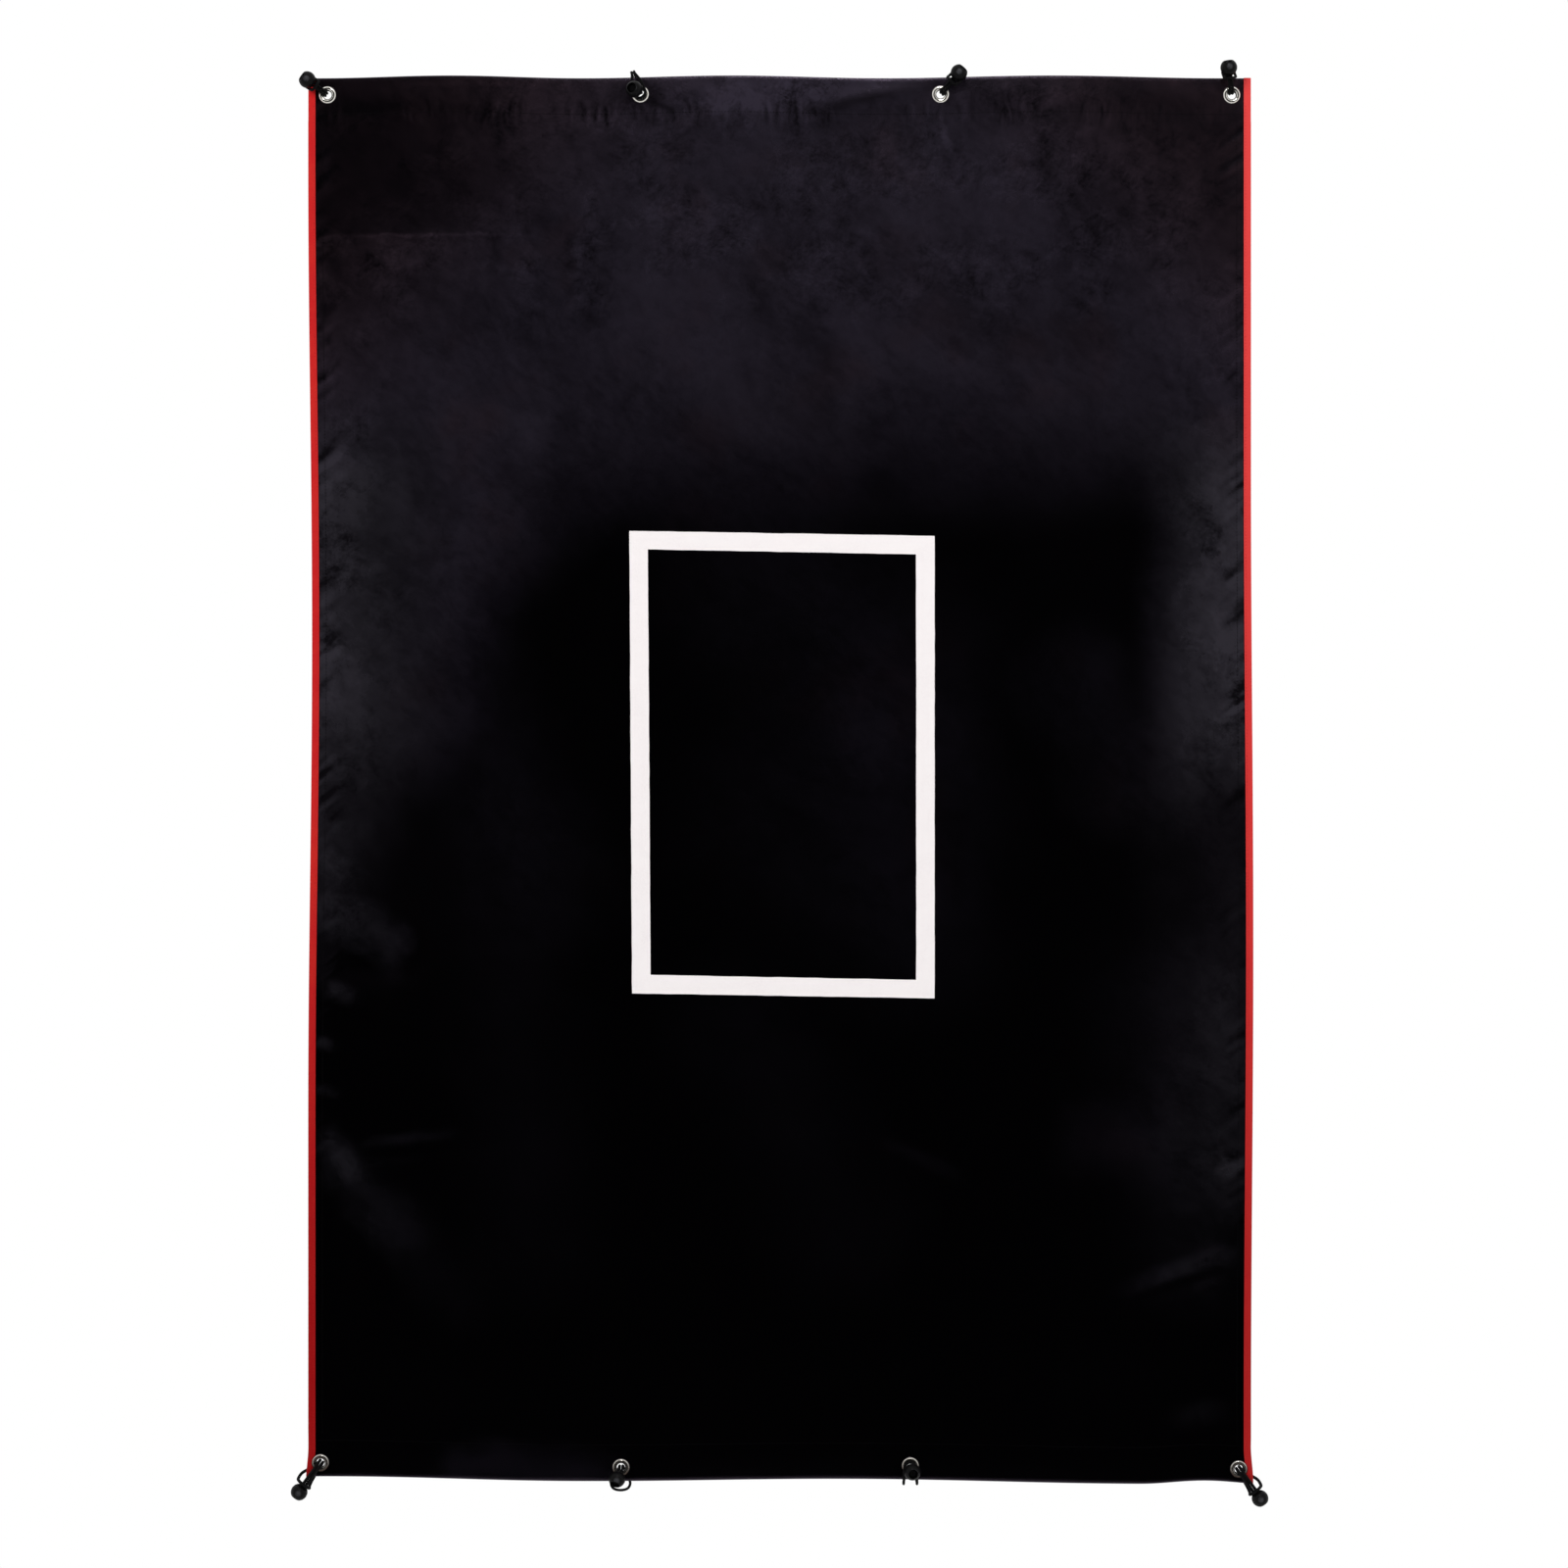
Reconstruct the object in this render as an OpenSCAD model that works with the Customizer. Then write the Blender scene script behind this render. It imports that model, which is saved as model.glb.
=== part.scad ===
// Pitching target sheet: a heavy vinyl backstop with a printed strike zone, bound sides, hemmed ends,
// eight two-part grommets and eight ball bungees that hook round the sheet's own edge.
// Origin at the middle of the top edge. X to the right, Y to the back, Z up.

/* [Sheet] */
// Width of the sheet over its bound sides
sheet_width = 1219; // [1100:1:1400]
// Height of the sheet from its top edge to its bottom edge
sheet_height = 1815; // [1700:1:2000]
// Thickness of the vinyl
vinyl = 1.0; // [0.8:0.1:1.4]
// Depth of the folded hems
hem_depth = 51; // [46:1:60]
// Slack between the plies of a hem
ply_slack = 0.1; // [0.05:0.05:0.3]

/* [Hang] */
// Rise of the top edge between its low points
top_scallop = 3.6; // [0:0.2:6]
// Rise of the bottom edge between its low points
bottom_scallop = 4.6; // [0:0.2:6]
// Fall of the bottom edge from its left end to its right end
bottom_fall = 6; // [0:0.5:14]
// How far the left side is drawn in above its middle
left_sway = 5; // [0:0.5:8]
// How far the right side bows out below its middle
right_sway = 3; // [0:0.5:6]
// How far the bottom corners spread
corner_flare = 3; // [0:0.5:5]
// Depth of the main folds
fold_depth = 7; // [0:0.5:12]

/* [Hem webbing] */
// Height of the webbing strip inside each hem
web_height = 36; // [30:1:40]
// Thickness of the webbing
web_thickness = 1.2; // [0.8:0.1:2]
// Distance from the sheet's edge to the webbing
web_inset = 8; // [7:0.5:10]

/* [Side bindings] */
// Width of the binding tape on each face
tape_width = 9.5; // [8:0.5:12]
// Thickness of the binding tape
tape = 0.8; // [0.5:0.1:1.2]

/* [Strike zone] */
// Width of the printed frame
zone_width = 393; // [350:1:450]
// Height of the printed frame
zone_height = 598; // [500:1:650]
// Width of its stripe
zone_stripe = 24; // [15:1:40]
// Distance from the top edge to the frame's centre
zone_drop = 889; // [800:1:1000]
// Distance of the frame's centre to the right of the middle
zone_shift = 4; // [-20:1:20]
// Fall of the frame's level stripes from left to right
zone_fall = 6.4; // [0:0.2:10]
// How far the frame's left side leans in at the bottom
zone_lean = 3.5; // [0:0.5:6]
// Thickness of the printed film
film = 0.25; // [0.1:0.05:0.4]

/* [Grommets] */
// Bore of a grommet
bore = 11; // [10.5:0.1:12]
// Outer diameter of the front flange
flange_diameter = 22.5; // [21:0.5:25]
// Height of the rolled front flange
flange_height = 2.4; // [1.5:0.1:2.6]
// Thickness of the grommet's metal
metal = 0.7; // [0.5:0.05:0.9]
// Outer diameter of the back washer
washer_diameter = 21.5; // [20:0.5:25]
// Height of the barrel's curl over the washer
curl_height = 1.2; // [0.8:0.1:1.5]
// Clearance of the barrel in the sheet and the washer
barrel_clearance = 0.1; // [0.05:0.05:0.3]
// Distance from the top edge to the top grommets
top_inset = 22; // [21:0.5:26]
// Distance from the bottom edge to the bottom grommets
bottom_inset = 18; // [17:0.5:20]
// Distance from the side to the top corner grommets
top_corner_inset = 25; // [22:0.5:28]
// Distance from the side to the bottom corner grommets
bottom_corner_inset = 16; // [15:0.5:18]
// Distance from the middle to the top inner left grommet
top_inner_left = 180; // [150:1:220]
// Distance from the middle to the top inner right grommet
top_inner_right = 208; // [150:1:220]
// Distance from the middle to the bottom inner left grommet
bottom_inner_left = 205; // [150:1:220]
// Distance from the middle to the bottom inner right grommet
bottom_inner_right = 169; // [150:1:220]

/* [Ball bungees] */
// Diameter of a ball
ball_diameter = 21.5; // [20:0.5:22]
// Diameter of the elastic cord
cord = 4.4; // [4:0.1:4.5]
// Gap between the two strands of the cord
strand_gap = 0.4; // [0.3:0.1:0.6]
// Clearance of the strands in the ball's neck
neck_clearance = 0.3; // [0.2:0.1:0.5]
// Width of the ledge that the cord's knot bears on
knot_ledge = 1.3; // [1:0.1:1.8]
// Clearance round the knot in the ball
knot_clearance = 0.3; // [0.2:0.1:0.5]
// Length of the knot
knot_length = 6; // [4:0.5:8]

/* [Hidden] */
$fn = 48;
places = ["top_left", "top_inner_left", "top_inner_right", "top_right",
          "bottom_left", "bottom_inner_left", "bottom_inner_right", "bottom_right"];
pieces = ["grommet_eyelet", "grommet_washer", "bungee_ball", "bungee_knot", "bungee_loop"];

half_width = sheet_width / 2;
front_face = -vinyl / 2;
ply_pitch = vinyl + web_thickness + 2 * ply_slack;
hem_back = ply_pitch + vinyl / 2;
fold_radius = ply_pitch / 2;
panel_columns = 18;
panel_rows = 15;
fold_steps = 4;
// The binding's back leg runs on past a hem's flap by the margin, and is down on the single ply by the step
flap_margin = 1;
tape_step = 8;

// Low points of the edges, as shares of the width from the middle
top_lows = [-0.49, -0.21, 0.11, 0.47];
bottom_lows = [-0.7, -0.22, 0.38, 0.52];
// Share of a scallop's height that lies above the edge's mean line
scallop_rise = 0.6;

// The sides sway about these shares of the height and spread from the last share down
left_sway_at = 0.4;
right_sway_at = 0.62;
sway_half = 0.34;
flare_from = 0.976;

// Broad flutes under the top hem
flute_spacing = 400;
flute_middle = -420;
flute_share = 0.5;
// Slanting folds in the lower part as [from, to, half width, height], in shares of the sheet's width and height
slanting_folds = [
    [[-0.52, -0.77], [-0.37, -0.93], 0.1, -0.8],
    [[-0.47, -0.745], [-0.36, -0.76], 0.08, 0.5],
    [[0.5, -0.86], [0.34, -0.9], 0.09, -0.7],
    [[0.1, -0.775], [0.22, -0.8], 0.09, -0.5]
];
// The folds start this far from the hems, the bindings and the printed frame, and are full after the run
hem_gap = 20;
hem_run = 120;
side_gap = 8;
side_run = 60;
zone_gap = [60, 105];
zone_run = [60, 100];

barrel = bore / 2 + metal;
grommet_hole = barrel + barrel_clearance;
flange = flange_diameter / 2;
ball = ball_diameter / 2;
strand_offset = (cord + strand_gap) / 2;
neck = strand_offset + cord / 2 + neck_clearance;
cavity = neck + knot_ledge;
knot = cavity - knot_clearance;
// The ledge lies this far from the ball's centre, towards its neck
ledge_depth = 1;
cord_sides = 8;
cord_steps = 2;
// How far a cut runs on past a surface, and a grommet's hole to either side of the sheet's front
overcut = 1;
hole_reach = 8;
// Distance from the webbing's ends to the panel's edges, and the gap round a flange in the tape
web_end_gap = 4;
flange_gap = 0.2;

// Each bungee: its angle from straight out of the sheet towards the right, its ball's centre and its cord's
// points, as [side, depth, reach] from its grommet. The cord's points are for one strand and end at the middle
// of the bight. A fourth value shifts both strands sideways.
corner_cord = [[2.4, -6.6, 8], [2.4, -3.4, 2.2], [2.4, 1, 0], [2.4, 6.4, 2.2], [2.4, 8.6, 8], [2.4, 8.2, 20],
               [2.6, 6.8, 33], [3, 1.2, 38.6], [5.5, -4, 35], [8.6, -5, 28], [8.4, -8, 21], [7.6, -13, 17],
               [0, -17, 15.6]];
edge_cord = [[2.4, -6.6, 8], [2.4, -3.4, 2.2], [2.4, 1, 0], [2.4, 6.4, 2.2], [2.4, 8.6, 8], [2.4, 8.2, 20],
             [2.6, 6.8, 33], [3, 1.2, 38.8], [5.2, -4, 36], [8.6, -5, 30], [8.6, -9, 24], [7.6, -14, 20],
             [0, -18, 19]];
peak_cord = [[2.4, -3.4, 0.6], [2.4, 1, 0], [2.4, 6.4, 2.2], [2.4, 8.6, 8], [2.4, 8, 18], [2.6, 6, 26],
             [2.6, 1.2, 30], [2.8, -4, 27], [5.5, -6.2, 17], [8, -7, 6, -1], [7, -8.2, -2, -1],
             [0, -8.6, -6, -1]];
hook_cord = [[2.4, -3.4, 0.6], [2.4, 1, 0], [2.4, 6.4, 2.2], [2.6, 8.6, 7], [5.5, 8.2, 14], [8.2, 6, 20.5],
             [8.6, 1.2, 23.6], [8.6, -4, 21], [8.4, -6.4, 13], [8, -7, 5], [6.8, -8.2, -2], [0, -8.6, -6]];
slack_cord = [[2.4, -5, 2.2], [2.4, 1, 0], [2.6, 7, 2.2], [5, 11.5, 8, -1], [9.6, 14, 15, -1.5],
              [12.4, 11, 23, -1.5], [9, 8.6, 29, -1.5], [0, 7.8, 31, -1.5]];
long_cord = [[2.4, -6.6, 8], [2.4, -3.4, 2.2], [2.4, 1, 0], [2.4, 6.4, 2.2], [2.6, 8.6, 8], [5, 8.6, 18, 3],
             [7, 7.4, 27, 5], [7.8, 2, 33.6, 3], [8.3, -4.6, 33.4, 0.6], [4.8, -9.6, 33], [0, -10.4, 32.8]];
bungees = [
    [-55, [0, -15.6, 29.6], corner_cord],
    [-19, [-6, -19.8, 5], peak_cord],
    [43, [0, -16.6, 34], edge_cord],
    [-10, [0, -16.6, 33], edge_cord],
    [-36, [0, -2.5, 46.5], long_cord],
    [0, [4.5, -15.5, 12.5], slack_cord],
    [0, [-2, -19.8, 4.5], hook_cord],
    [36, [0, -2.5, 46.5], mirrored(long_cord)]
];

// A smooth hump of height 1 that is 0 outside its half width
function hump(distance, half) = abs(distance) >= half ? 0 : pow(cos(90 * distance / half), 2);

// A smooth step from 0 to 1
function ease(t) = let (c = min(max(t, 0), 1)) c * c * (3 - 2 * c);

// How far an edge rises at x between its low points
function scallop(x, lows) = max([for (i = [0 : len(lows) - 2])
    let (a = lows[i] * sheet_width, b = lows[i + 1] * sheet_width)
    x <= a || x >= b ? 0 : pow(sin(180 * (x - a) / (b - a)), 2)]);

function top_edge(x) = top_scallop * (scallop(x, top_lows) + scallop_rise - 1);
function bottom_edge(x) = bottom_scallop * (scallop(x, bottom_lows) + scallop_rise - 1) - sheet_height
    - bottom_fall * x / sheet_width;

// The sheet's outline at height z, over the bindings
function drop(z) = -z / sheet_height;
function flare(z) = corner_flare * ease((drop(z) - flare_from) / (1 - flare_from));
function left_edge(z) = left_sway * hump(drop(z) - left_sway_at, sway_half) - flare(z) - half_width;
function right_edge(z) = right_sway * hump(drop(z) - right_sway_at, sway_half) + flare(z) + half_width;

// The panel's own edges lie inside the binding tape
tape_build = tape + ply_slack;
function panel_x(share, z) = (1 - share) * (left_edge(z) + tape_build) + share * (right_edge(z) - tape_build);

// Height of a slanting fold at x, z, which fades over its half width
function on_sheet(share) = [share[0] * sheet_width, share[1] * sheet_height];
function slanting_fold(x, z, f) =
    let (
        from = on_sheet(f[0]),
        run = on_sheet(f[1]) - from,
        t = min(max(([x, z] - from) * run / (run * run), 0), 1)
    )
    f[3] * hump(norm([x, z] - from - t * run), f[2] * sheet_width);

function add(list) = len(list) == 0 ? 0 : [for (v = list) 1] * list;

// Depth of the sheet's folds before they die out
function folds(x, z) = fold_depth * (
    flute_share * cos(360 * x / flute_spacing) * hump(z - flute_middle, flute_spacing)
    + add([for (f = slanting_folds) slanting_fold(x, z, f)])
);

// The folds die out at the hems, along the bindings and behind the printed frame
function flat_room(x, z) =
    ease((-z - hem_depth - hem_gap) / hem_run)
    * ease((z + sheet_height - hem_depth - hem_gap) / hem_run)
    * ease((half_width - abs(x) - tape_width - side_gap) / side_run)
    * ease(max((abs(x - zone_shift) - zone_width / 2 - zone_gap[0]) / zone_run[0],
               (abs(z + zone_drop) - zone_height / 2 - zone_gap[1]) / zone_run[1]));
function relief(x, z) = folds(x, z) * flat_room(x, z);

// Faces of a thin wall between two grids of points, each a list of rows
function wall_faces(rows, columns) =
    let (side = rows * columns)
    concat(
        [for (i = [0 : rows - 2]) for (j = [0 : columns - 2])
            let (a = i * columns + j, b = a + 1, c = a + columns, d = c + 1)
            each [[a, b, c], [b, d, c], [side + a, side + c, side + b], [side + b, side + c, side + d]]],
        [for (i = [0 : rows - 2]) for (j = [0, columns - 1])
            let (a = i * columns + j, c = a + columns)
            each j == 0 ? [[a, c, side + a], [c, side + c, side + a]]
                        : [[a, side + a, c], [c, side + a, side + c]]],
        [for (j = [0 : columns - 2]) for (i = [0, rows - 1])
            let (a = i * columns + j, b = a + 1)
            each i == 0 ? [[a, side + a, b], [b, side + a, side + b]]
                        : [[a, b, side + a], [b, side + b, side + a]]]
    );

module thin_wall(outer, inner) {
    polyhedron(
        points = concat([for (row = outer) each row], [for (row = inner) each row]),
        faces = wall_faces(len(outer), len(outer[0]))
    );
}

// A hem's stations from its flap round its fold, as [depth, distance in from the edge, direction outwards]
hem_stations = concat(
    [[ply_pitch, hem_depth, [1, 0]]],
    [for (i = [0 : fold_steps])
        let (turn = 180 * i / fold_steps)
        [fold_radius * (1 + cos(turn)), vinyl / 2 + fold_radius * (1 - sin(turn)), [cos(turn), -sin(turn)]]]
);

// A point on one face of the vinyl in the hem of an edge at height edge; inward is -1 at the top, 1 at the bottom
function hem_point(share, edge, inward, station, face) =
    let (z = edge + inward * (station[1] + face * station[2][1] * vinyl / 2))
    [panel_x(share, z), station[0] + face * station[2][0] * vinyl / 2, z];

// Height of a row of the single ply between the hems
function row_height(i, x) =
    let (from = top_edge(x) - hem_depth, to = bottom_edge(x) + hem_depth)
    from + (to - from) * i / panel_rows;

function panel_column(share, face) =
    let (x = (share - 0.5) * sheet_width)
    concat(
        [for (station = hem_stations) hem_point(share, top_edge(x), -1, station, face)],
        [for (i = [0 : panel_rows])
            let (z = row_height(i, x))
            [panel_x(share, z), relief(x, z) - face * vinyl / 2, z]],
        [for (i = [len(hem_stations) - 1 : -1 : 0]) hem_point(share, bottom_edge(x), 1, hem_stations[i], face)]
    );

module grommet_holes(rows) {
    for (i = rows)
        translate([grommet(i)[0], -hole_reach, grommet(i)[1]])
            rotate([-90, 0, 0])
                cylinder(r = grommet_hole, h = 2 * hole_reach);
}

// The panel's columns, as shares of its width; the outermost two lie flat under the binding tape
under_tape = (tape_width + 2) / sheet_width;
column_shares = concat(
    [0, under_tape],
    [for (j = [1 : panel_columns - 1]) j / panel_columns],
    [1 - under_tape, 1]
);

module vinyl_panel() {
    color("#1b1a1f")
        difference() {
            thin_wall(
                [for (share = column_shares) panel_column(share, -1)],
                [for (share = column_shares) panel_column(share, 1)]
            );
            grommet_holes([0 : len(places) - 1]);
        }
}

// A strip of webbing inside a hem; inward is -1 at the top and 1 at the bottom
module webbing(inward, left_edge_z, right_edge_z, grommets) {
    reach = half_width - tape_build - web_end_gap;
    color("#3a3a3c")
        difference() {
            translate([0, front_face + vinyl + ply_slack + web_thickness, 0])
                rotate([90, 0, 0])
                    linear_extrude(web_thickness)
                        polygon([
                            [-reach, left_edge_z + inward * web_inset],
                            [reach, right_edge_z + inward * web_inset],
                            [reach, right_edge_z + inward * (web_inset + web_height)],
                            [-reach, left_edge_z + inward * (web_inset + web_height)]
                        ]);
            grommet_holes(grommets);
        }
}

// The binding's section: along its front leg, round the sheet's edge and along its back leg
function tape_section(z, back, side, face) =
    let (
        edge = side < 0 ? left_edge(z) : right_edge(z),
        skin = face > 0 ? 0 : tape,
        front_y = front_face - tape_build + skin,
        back_y = back + tape_build - skin,
        bend = face > 0 ? tape : ply_slack
    )
    [for (p = [
        [tape_width, front_y], [skin + bend, front_y],
        [skin + bend * 0.3, front_y + bend * 0.3],
        [skin, front_y + bend], [skin, back_y - bend],
        [skin + bend * 0.3, back_y - bend * 0.3],
        [skin + bend, back_y], [tape_width, back_y]
    ]) [edge - side * p[0], p[1], z]];

// The binding's stations, as [height, depth of the sheet's back]. They share the panel's rows, and the back leg
// steps down past each hem's flap.
function tape_stations(side) =
    let (
        x = side * half_width,
        top = top_edge(x),
        bottom = bottom_edge(x)
    )
    concat(
        [for (d = [0, hem_depth, hem_depth + flap_margin]) [top - d, hem_back]],
        [[top - hem_depth - tape_step, vinyl / 2]],
        [for (i = [1 : panel_rows - 1]) [row_height(i, x), vinyl / 2]],
        [[bottom + hem_depth + tape_step, vinyl / 2]],
        [for (d = [hem_depth + flap_margin, hem_depth, 0]) [bottom + d, hem_back]]
    );

module binding(side) {
    stations = tape_stations(side);
    outer = [for (s = stations) tape_section(s[0], s[1], side, 1)];
    inner = [for (s = stations) tape_section(s[0], s[1], side, -1)];
    corner = side < 0 ? 4 : 7;
    color("#c8262b")
        difference() {
            if (side < 0) thin_wall(inner, outer);
            else thin_wall(outer, inner);
            // The corner grommet is set over the tape's inner edge
            translate([grommet(corner)[0], -hole_reach, grommet(corner)[1]])
                rotate([-90, 0, 0])
                    cylinder(r = flange + flange_gap, h = 2 * hole_reach);
        }
}

module strike_zone_frame() {
    middle = [zone_shift, -zone_drop];
    w = zone_width / 2;
    h = zone_height / 2;
    corners = [[-w - zone_lean / 2, h + zone_fall / 2], [w, h - zone_fall / 2],
               [w, -h - zone_fall / 2], [-w + zone_lean / 2, -h + zone_fall / 2]];
    inward = [[1, -1], [-1, -1], [-1, 1], [1, 1]];
    outline = [for (c = corners) middle + c];
    opening = [for (i = [0 : 3]) outline[i] + zone_stripe * inward[i]];
    color("#f7f2f2")
        translate([0, front_face, 0])
            rotate([90, 0, 0])
                linear_extrude(film)
                    difference() {
                        polygon(outline);
                        polygon(opening);
                    }
}

function grommet_x(i) = [
    top_corner_inset - half_width, -top_inner_left, top_inner_right, half_width - top_corner_inset,
    bottom_corner_inset - half_width, -bottom_inner_left, bottom_inner_right, half_width - bottom_corner_inset
][i];

// The centre of a grommet, as [x, z]
function grommet(i) =
    let (x = grommet_x(i))
    [x, i < 4 ? top_edge(x) - top_inset : bottom_edge(x) + bottom_inset];

module at_grommet(i) {
    translate([grommet(i)[0], 0, grommet(i)[1]]) children();
}

// Half an ellipse over a span of radii, as points [radius, depth]; rise is upwards
function arch(from, to, base, rise, steps) = [for (k = [0 : steps])
    let (turn = 180 * k / steps)
    [(from + to) / 2 - (to - from) / 2 * cos(turn), base + rise * sin(turn)]];

// Front flange, barrel and the curl over the washer, in one piece of metal
module grommet_eyelet(i) {
    washer_back = hem_back + metal;
    inner_bore = bore / 2;
    curl_edge = inner_bore + 4 * metal;
    section = concat(
        arch(inner_bore, flange, front_face, -flange_height, 12),
        arch(flange - metal, barrel, front_face, metal - flange_height, 10),
        arch(barrel, curl_edge - metal, washer_back, curl_height - metal, 6),
        arch(curl_edge, inner_bore, washer_back, curl_height, 8)
    );
    color("#c9c9cc")
        at_grommet(i)
            rotate([-90, 0, 0])
                rotate_extrude()
                    polygon(section);
}

// The plain washer that the barrel is curled over, dished a little at its rim
module grommet_washer(i) {
    rim = washer_diameter / 2;
    color("#b4b4b8")
        at_grommet(i)
            rotate([-90, 0, 0])
                rotate_extrude()
                    polygon([
                        [grommet_hole, hem_back], [rim, hem_back], [rim, hem_back + metal * 0.5],
                        [rim - metal * 0.5, hem_back + metal], [grommet_hole, hem_back + metal]
                    ]);
}

// A bungee's own frame: reach runs from its grommet to its ball, side lies across it and depth to the back
function turn_of(i) = i < 4 ? bungees[i][0] : 180 - bungees[i][0];
function placed(i, p) =
    let (turn = turn_of(i))
    [grommet(i)[0] + p[0] * cos(turn) + p[2] * sin(turn), p[1], grommet(i)[1] - p[0] * sin(turn) + p[2] * cos(turn)];
function mirrored(cord_points) = [for (p = cord_points) [p[0], p[1], p[2], -shift(p)]];
function shift(p) = len(p) > 3 ? p[3] : 0;

function unit(v) = v / norm(v);
function ball_centre(i) = bungees[i][1];
function neck_direction(i) =
    let (first = bungees[i][2][0])
    unit([shift(first), first[1], first[2]] - ball_centre(i));

// One strand from the knot to the middle of the bight; hand is 1 or -1
function strand(i, hand) =
    let (
        way = neck_direction(i),
        across = unit([1, 0, 0] - way[0] * way) * strand_offset * hand,
        centre = ball_centre(i)
    )
    concat(
        [for (d = [ledge_depth, ball * 0.7, ball + 1]) centre + way * d + across],
        [for (p = bungees[i][2]) [p[0] * hand + shift(p), p[1], p[2]]]
    );

function reversed(list) = [for (i = [len(list) - 1 : -1 : 0]) list[i]];
function without_last(list) = [for (i = [0 : len(list) - 2]) list[i]];
function cord_route(i) = concat(strand(i, 1), reversed(without_last(strand(i, -1))));

// A smooth curve through the points
function curve_point(p, i, t) =
    let (a = p[max(i - 1, 0)], b = p[i], c = p[i + 1], d = p[min(i + 2, len(p) - 1)])
    b + (c - a) * t / 2 + (2 * a - 5 * b + 4 * c - d) * t * t / 2 + (3 * b - a - 3 * c + d) * t * t * t / 2;
function smooth(p, steps) = concat(
    [for (i = [0 : len(p) - 2]) for (k = [0 : steps - 1]) curve_point(p, i, k / steps)],
    [p[len(p) - 1]]
);

// A round tube along the points, whose rings are carried along without twisting
function tangent(p, i) = unit(p[min(i + 1, len(p) - 1)] - p[max(i - 1, 0)]);
function square_to(v, way) = unit(v - (v * way) * way);
function ring(centre, way, up, radius, sides) =
    let (side = cross(way, up))
    [for (k = [0 : sides - 1])
        centre + radius * (cos(360 * (k + 0.5) / sides) * up + sin(360 * (k + 0.5) / sides) * side)];

module tube(p, radius, sides) {
    last = len(p) - 1;
    ways = [for (i = [0 : last]) tangent(p, i)];
    ups = [for (i = 0, up = square_to([0.3, 1, 0.2], ways[0]); i <= last;
                i = i + 1, up = square_to(up, ways[min(i, last)])) up];
    polyhedron(
        points = [for (i = [0 : last]) each ring(p[i], ways[i], ups[i], radius, sides)],
        faces = concat(
            [[for (k = [0 : sides - 1]) k], [for (k = [sides - 1 : -1 : 0]) last * sides + k]],
            [for (i = [0 : last - 1]) for (k = [0 : sides - 1])
                let (a = i * sides + k, b = i * sides + (k + 1) % sides)
                each [[a, a + sides, b], [b, a + sides, b + sides]]]
        )
    );
}

module bungee_loop(i) {
    color("#17171a")
        tube([for (p = smooth(cord_route(i), cord_steps)) placed(i, p)], cord / 2, cord_sides);
}

// Places its children at a ball's centre with their Z axis pointing away from the neck
module at_ball(i) {
    away = -neck_direction(i);
    at_grommet(i)
        rotate([0, turn_of(i), 0])
            translate(ball_centre(i))
                rotate([0, acos(away[2]), atan2(away[1], away[0])])
                    children();
}

module bungee_ball(i) {
    color("#101013")
        at_ball(i)
            difference() {
                sphere(r = ball);
                translate([0, 0, -ball - overcut])
                    cylinder(r = neck, h = ball + overcut);
                translate([0, 0, -ledge_depth])
                    cylinder(r = cavity, h = ball + ledge_depth + overcut);
            }
}

// The cord's crimped ends, a bead that bears on the ledge inside the ball
module bungee_knot(i) {
    edge = knot_length * 0.15;
    color("#2b2b2f")
        at_ball(i)
            translate([0, 0, -ledge_depth])
                rotate_extrude()
                    polygon([
                        [0, 0], [knot - edge, 0], [knot, edge], [knot, knot_length - 2 * edge],
                        [knot - 2 * edge, knot_length], [0, knot_length]
                    ]);
}

vinyl_panel();
webbing(-1, -top_scallop / 2, -top_scallop / 2, [0 : 3]);  // top_webbing
webbing(1, bottom_fall / 2 - sheet_height, -bottom_fall / 2 - sheet_height, [4 : 7]);  // bottom_webbing
binding(-1);  // left_binding
binding(1);  // right_binding
strike_zone_frame();
for (i = [0 : len(places) - 1]) {
    grommet_eyelet(i);
    grommet_washer(i);
    bungee_ball(i);
    bungee_knot(i);
    bungee_loop(i);
}
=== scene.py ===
import math

import bpy
import numpy as np
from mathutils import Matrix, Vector


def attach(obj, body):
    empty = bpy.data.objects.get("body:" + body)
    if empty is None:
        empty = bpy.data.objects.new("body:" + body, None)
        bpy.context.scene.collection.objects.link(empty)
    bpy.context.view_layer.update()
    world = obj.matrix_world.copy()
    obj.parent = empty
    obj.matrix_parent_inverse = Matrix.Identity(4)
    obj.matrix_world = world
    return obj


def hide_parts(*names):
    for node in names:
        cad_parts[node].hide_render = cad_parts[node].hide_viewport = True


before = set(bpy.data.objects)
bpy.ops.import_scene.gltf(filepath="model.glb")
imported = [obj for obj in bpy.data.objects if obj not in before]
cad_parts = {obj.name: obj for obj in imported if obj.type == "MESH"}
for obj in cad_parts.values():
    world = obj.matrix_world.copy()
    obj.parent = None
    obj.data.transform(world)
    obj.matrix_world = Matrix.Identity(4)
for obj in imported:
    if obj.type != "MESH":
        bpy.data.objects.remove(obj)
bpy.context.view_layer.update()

print("frame loaded with", len(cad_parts), "solids")

mm = 0.001  # lengths below are written in millimetres unless a note says otherwise
places = ["top_left", "top_inner_left", "top_inner_right", "top_right",
          "bottom_left", "bottom_inner_left", "bottom_inner_right", "bottom_right"]


def addObject(name, data):
    made = bpy.data.objects.new(name, data)
    bpy.context.scene.collection.objects.link(made)
    return made


# The camera stands level with the middle of the sheet. These are in metres, but for the sensor in millimetres.
shot = {"distance": 4.8, "across": 0.0057, "height": -0.9141, "seenWidth": 2.0272, "sensor": 36.0}


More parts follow.
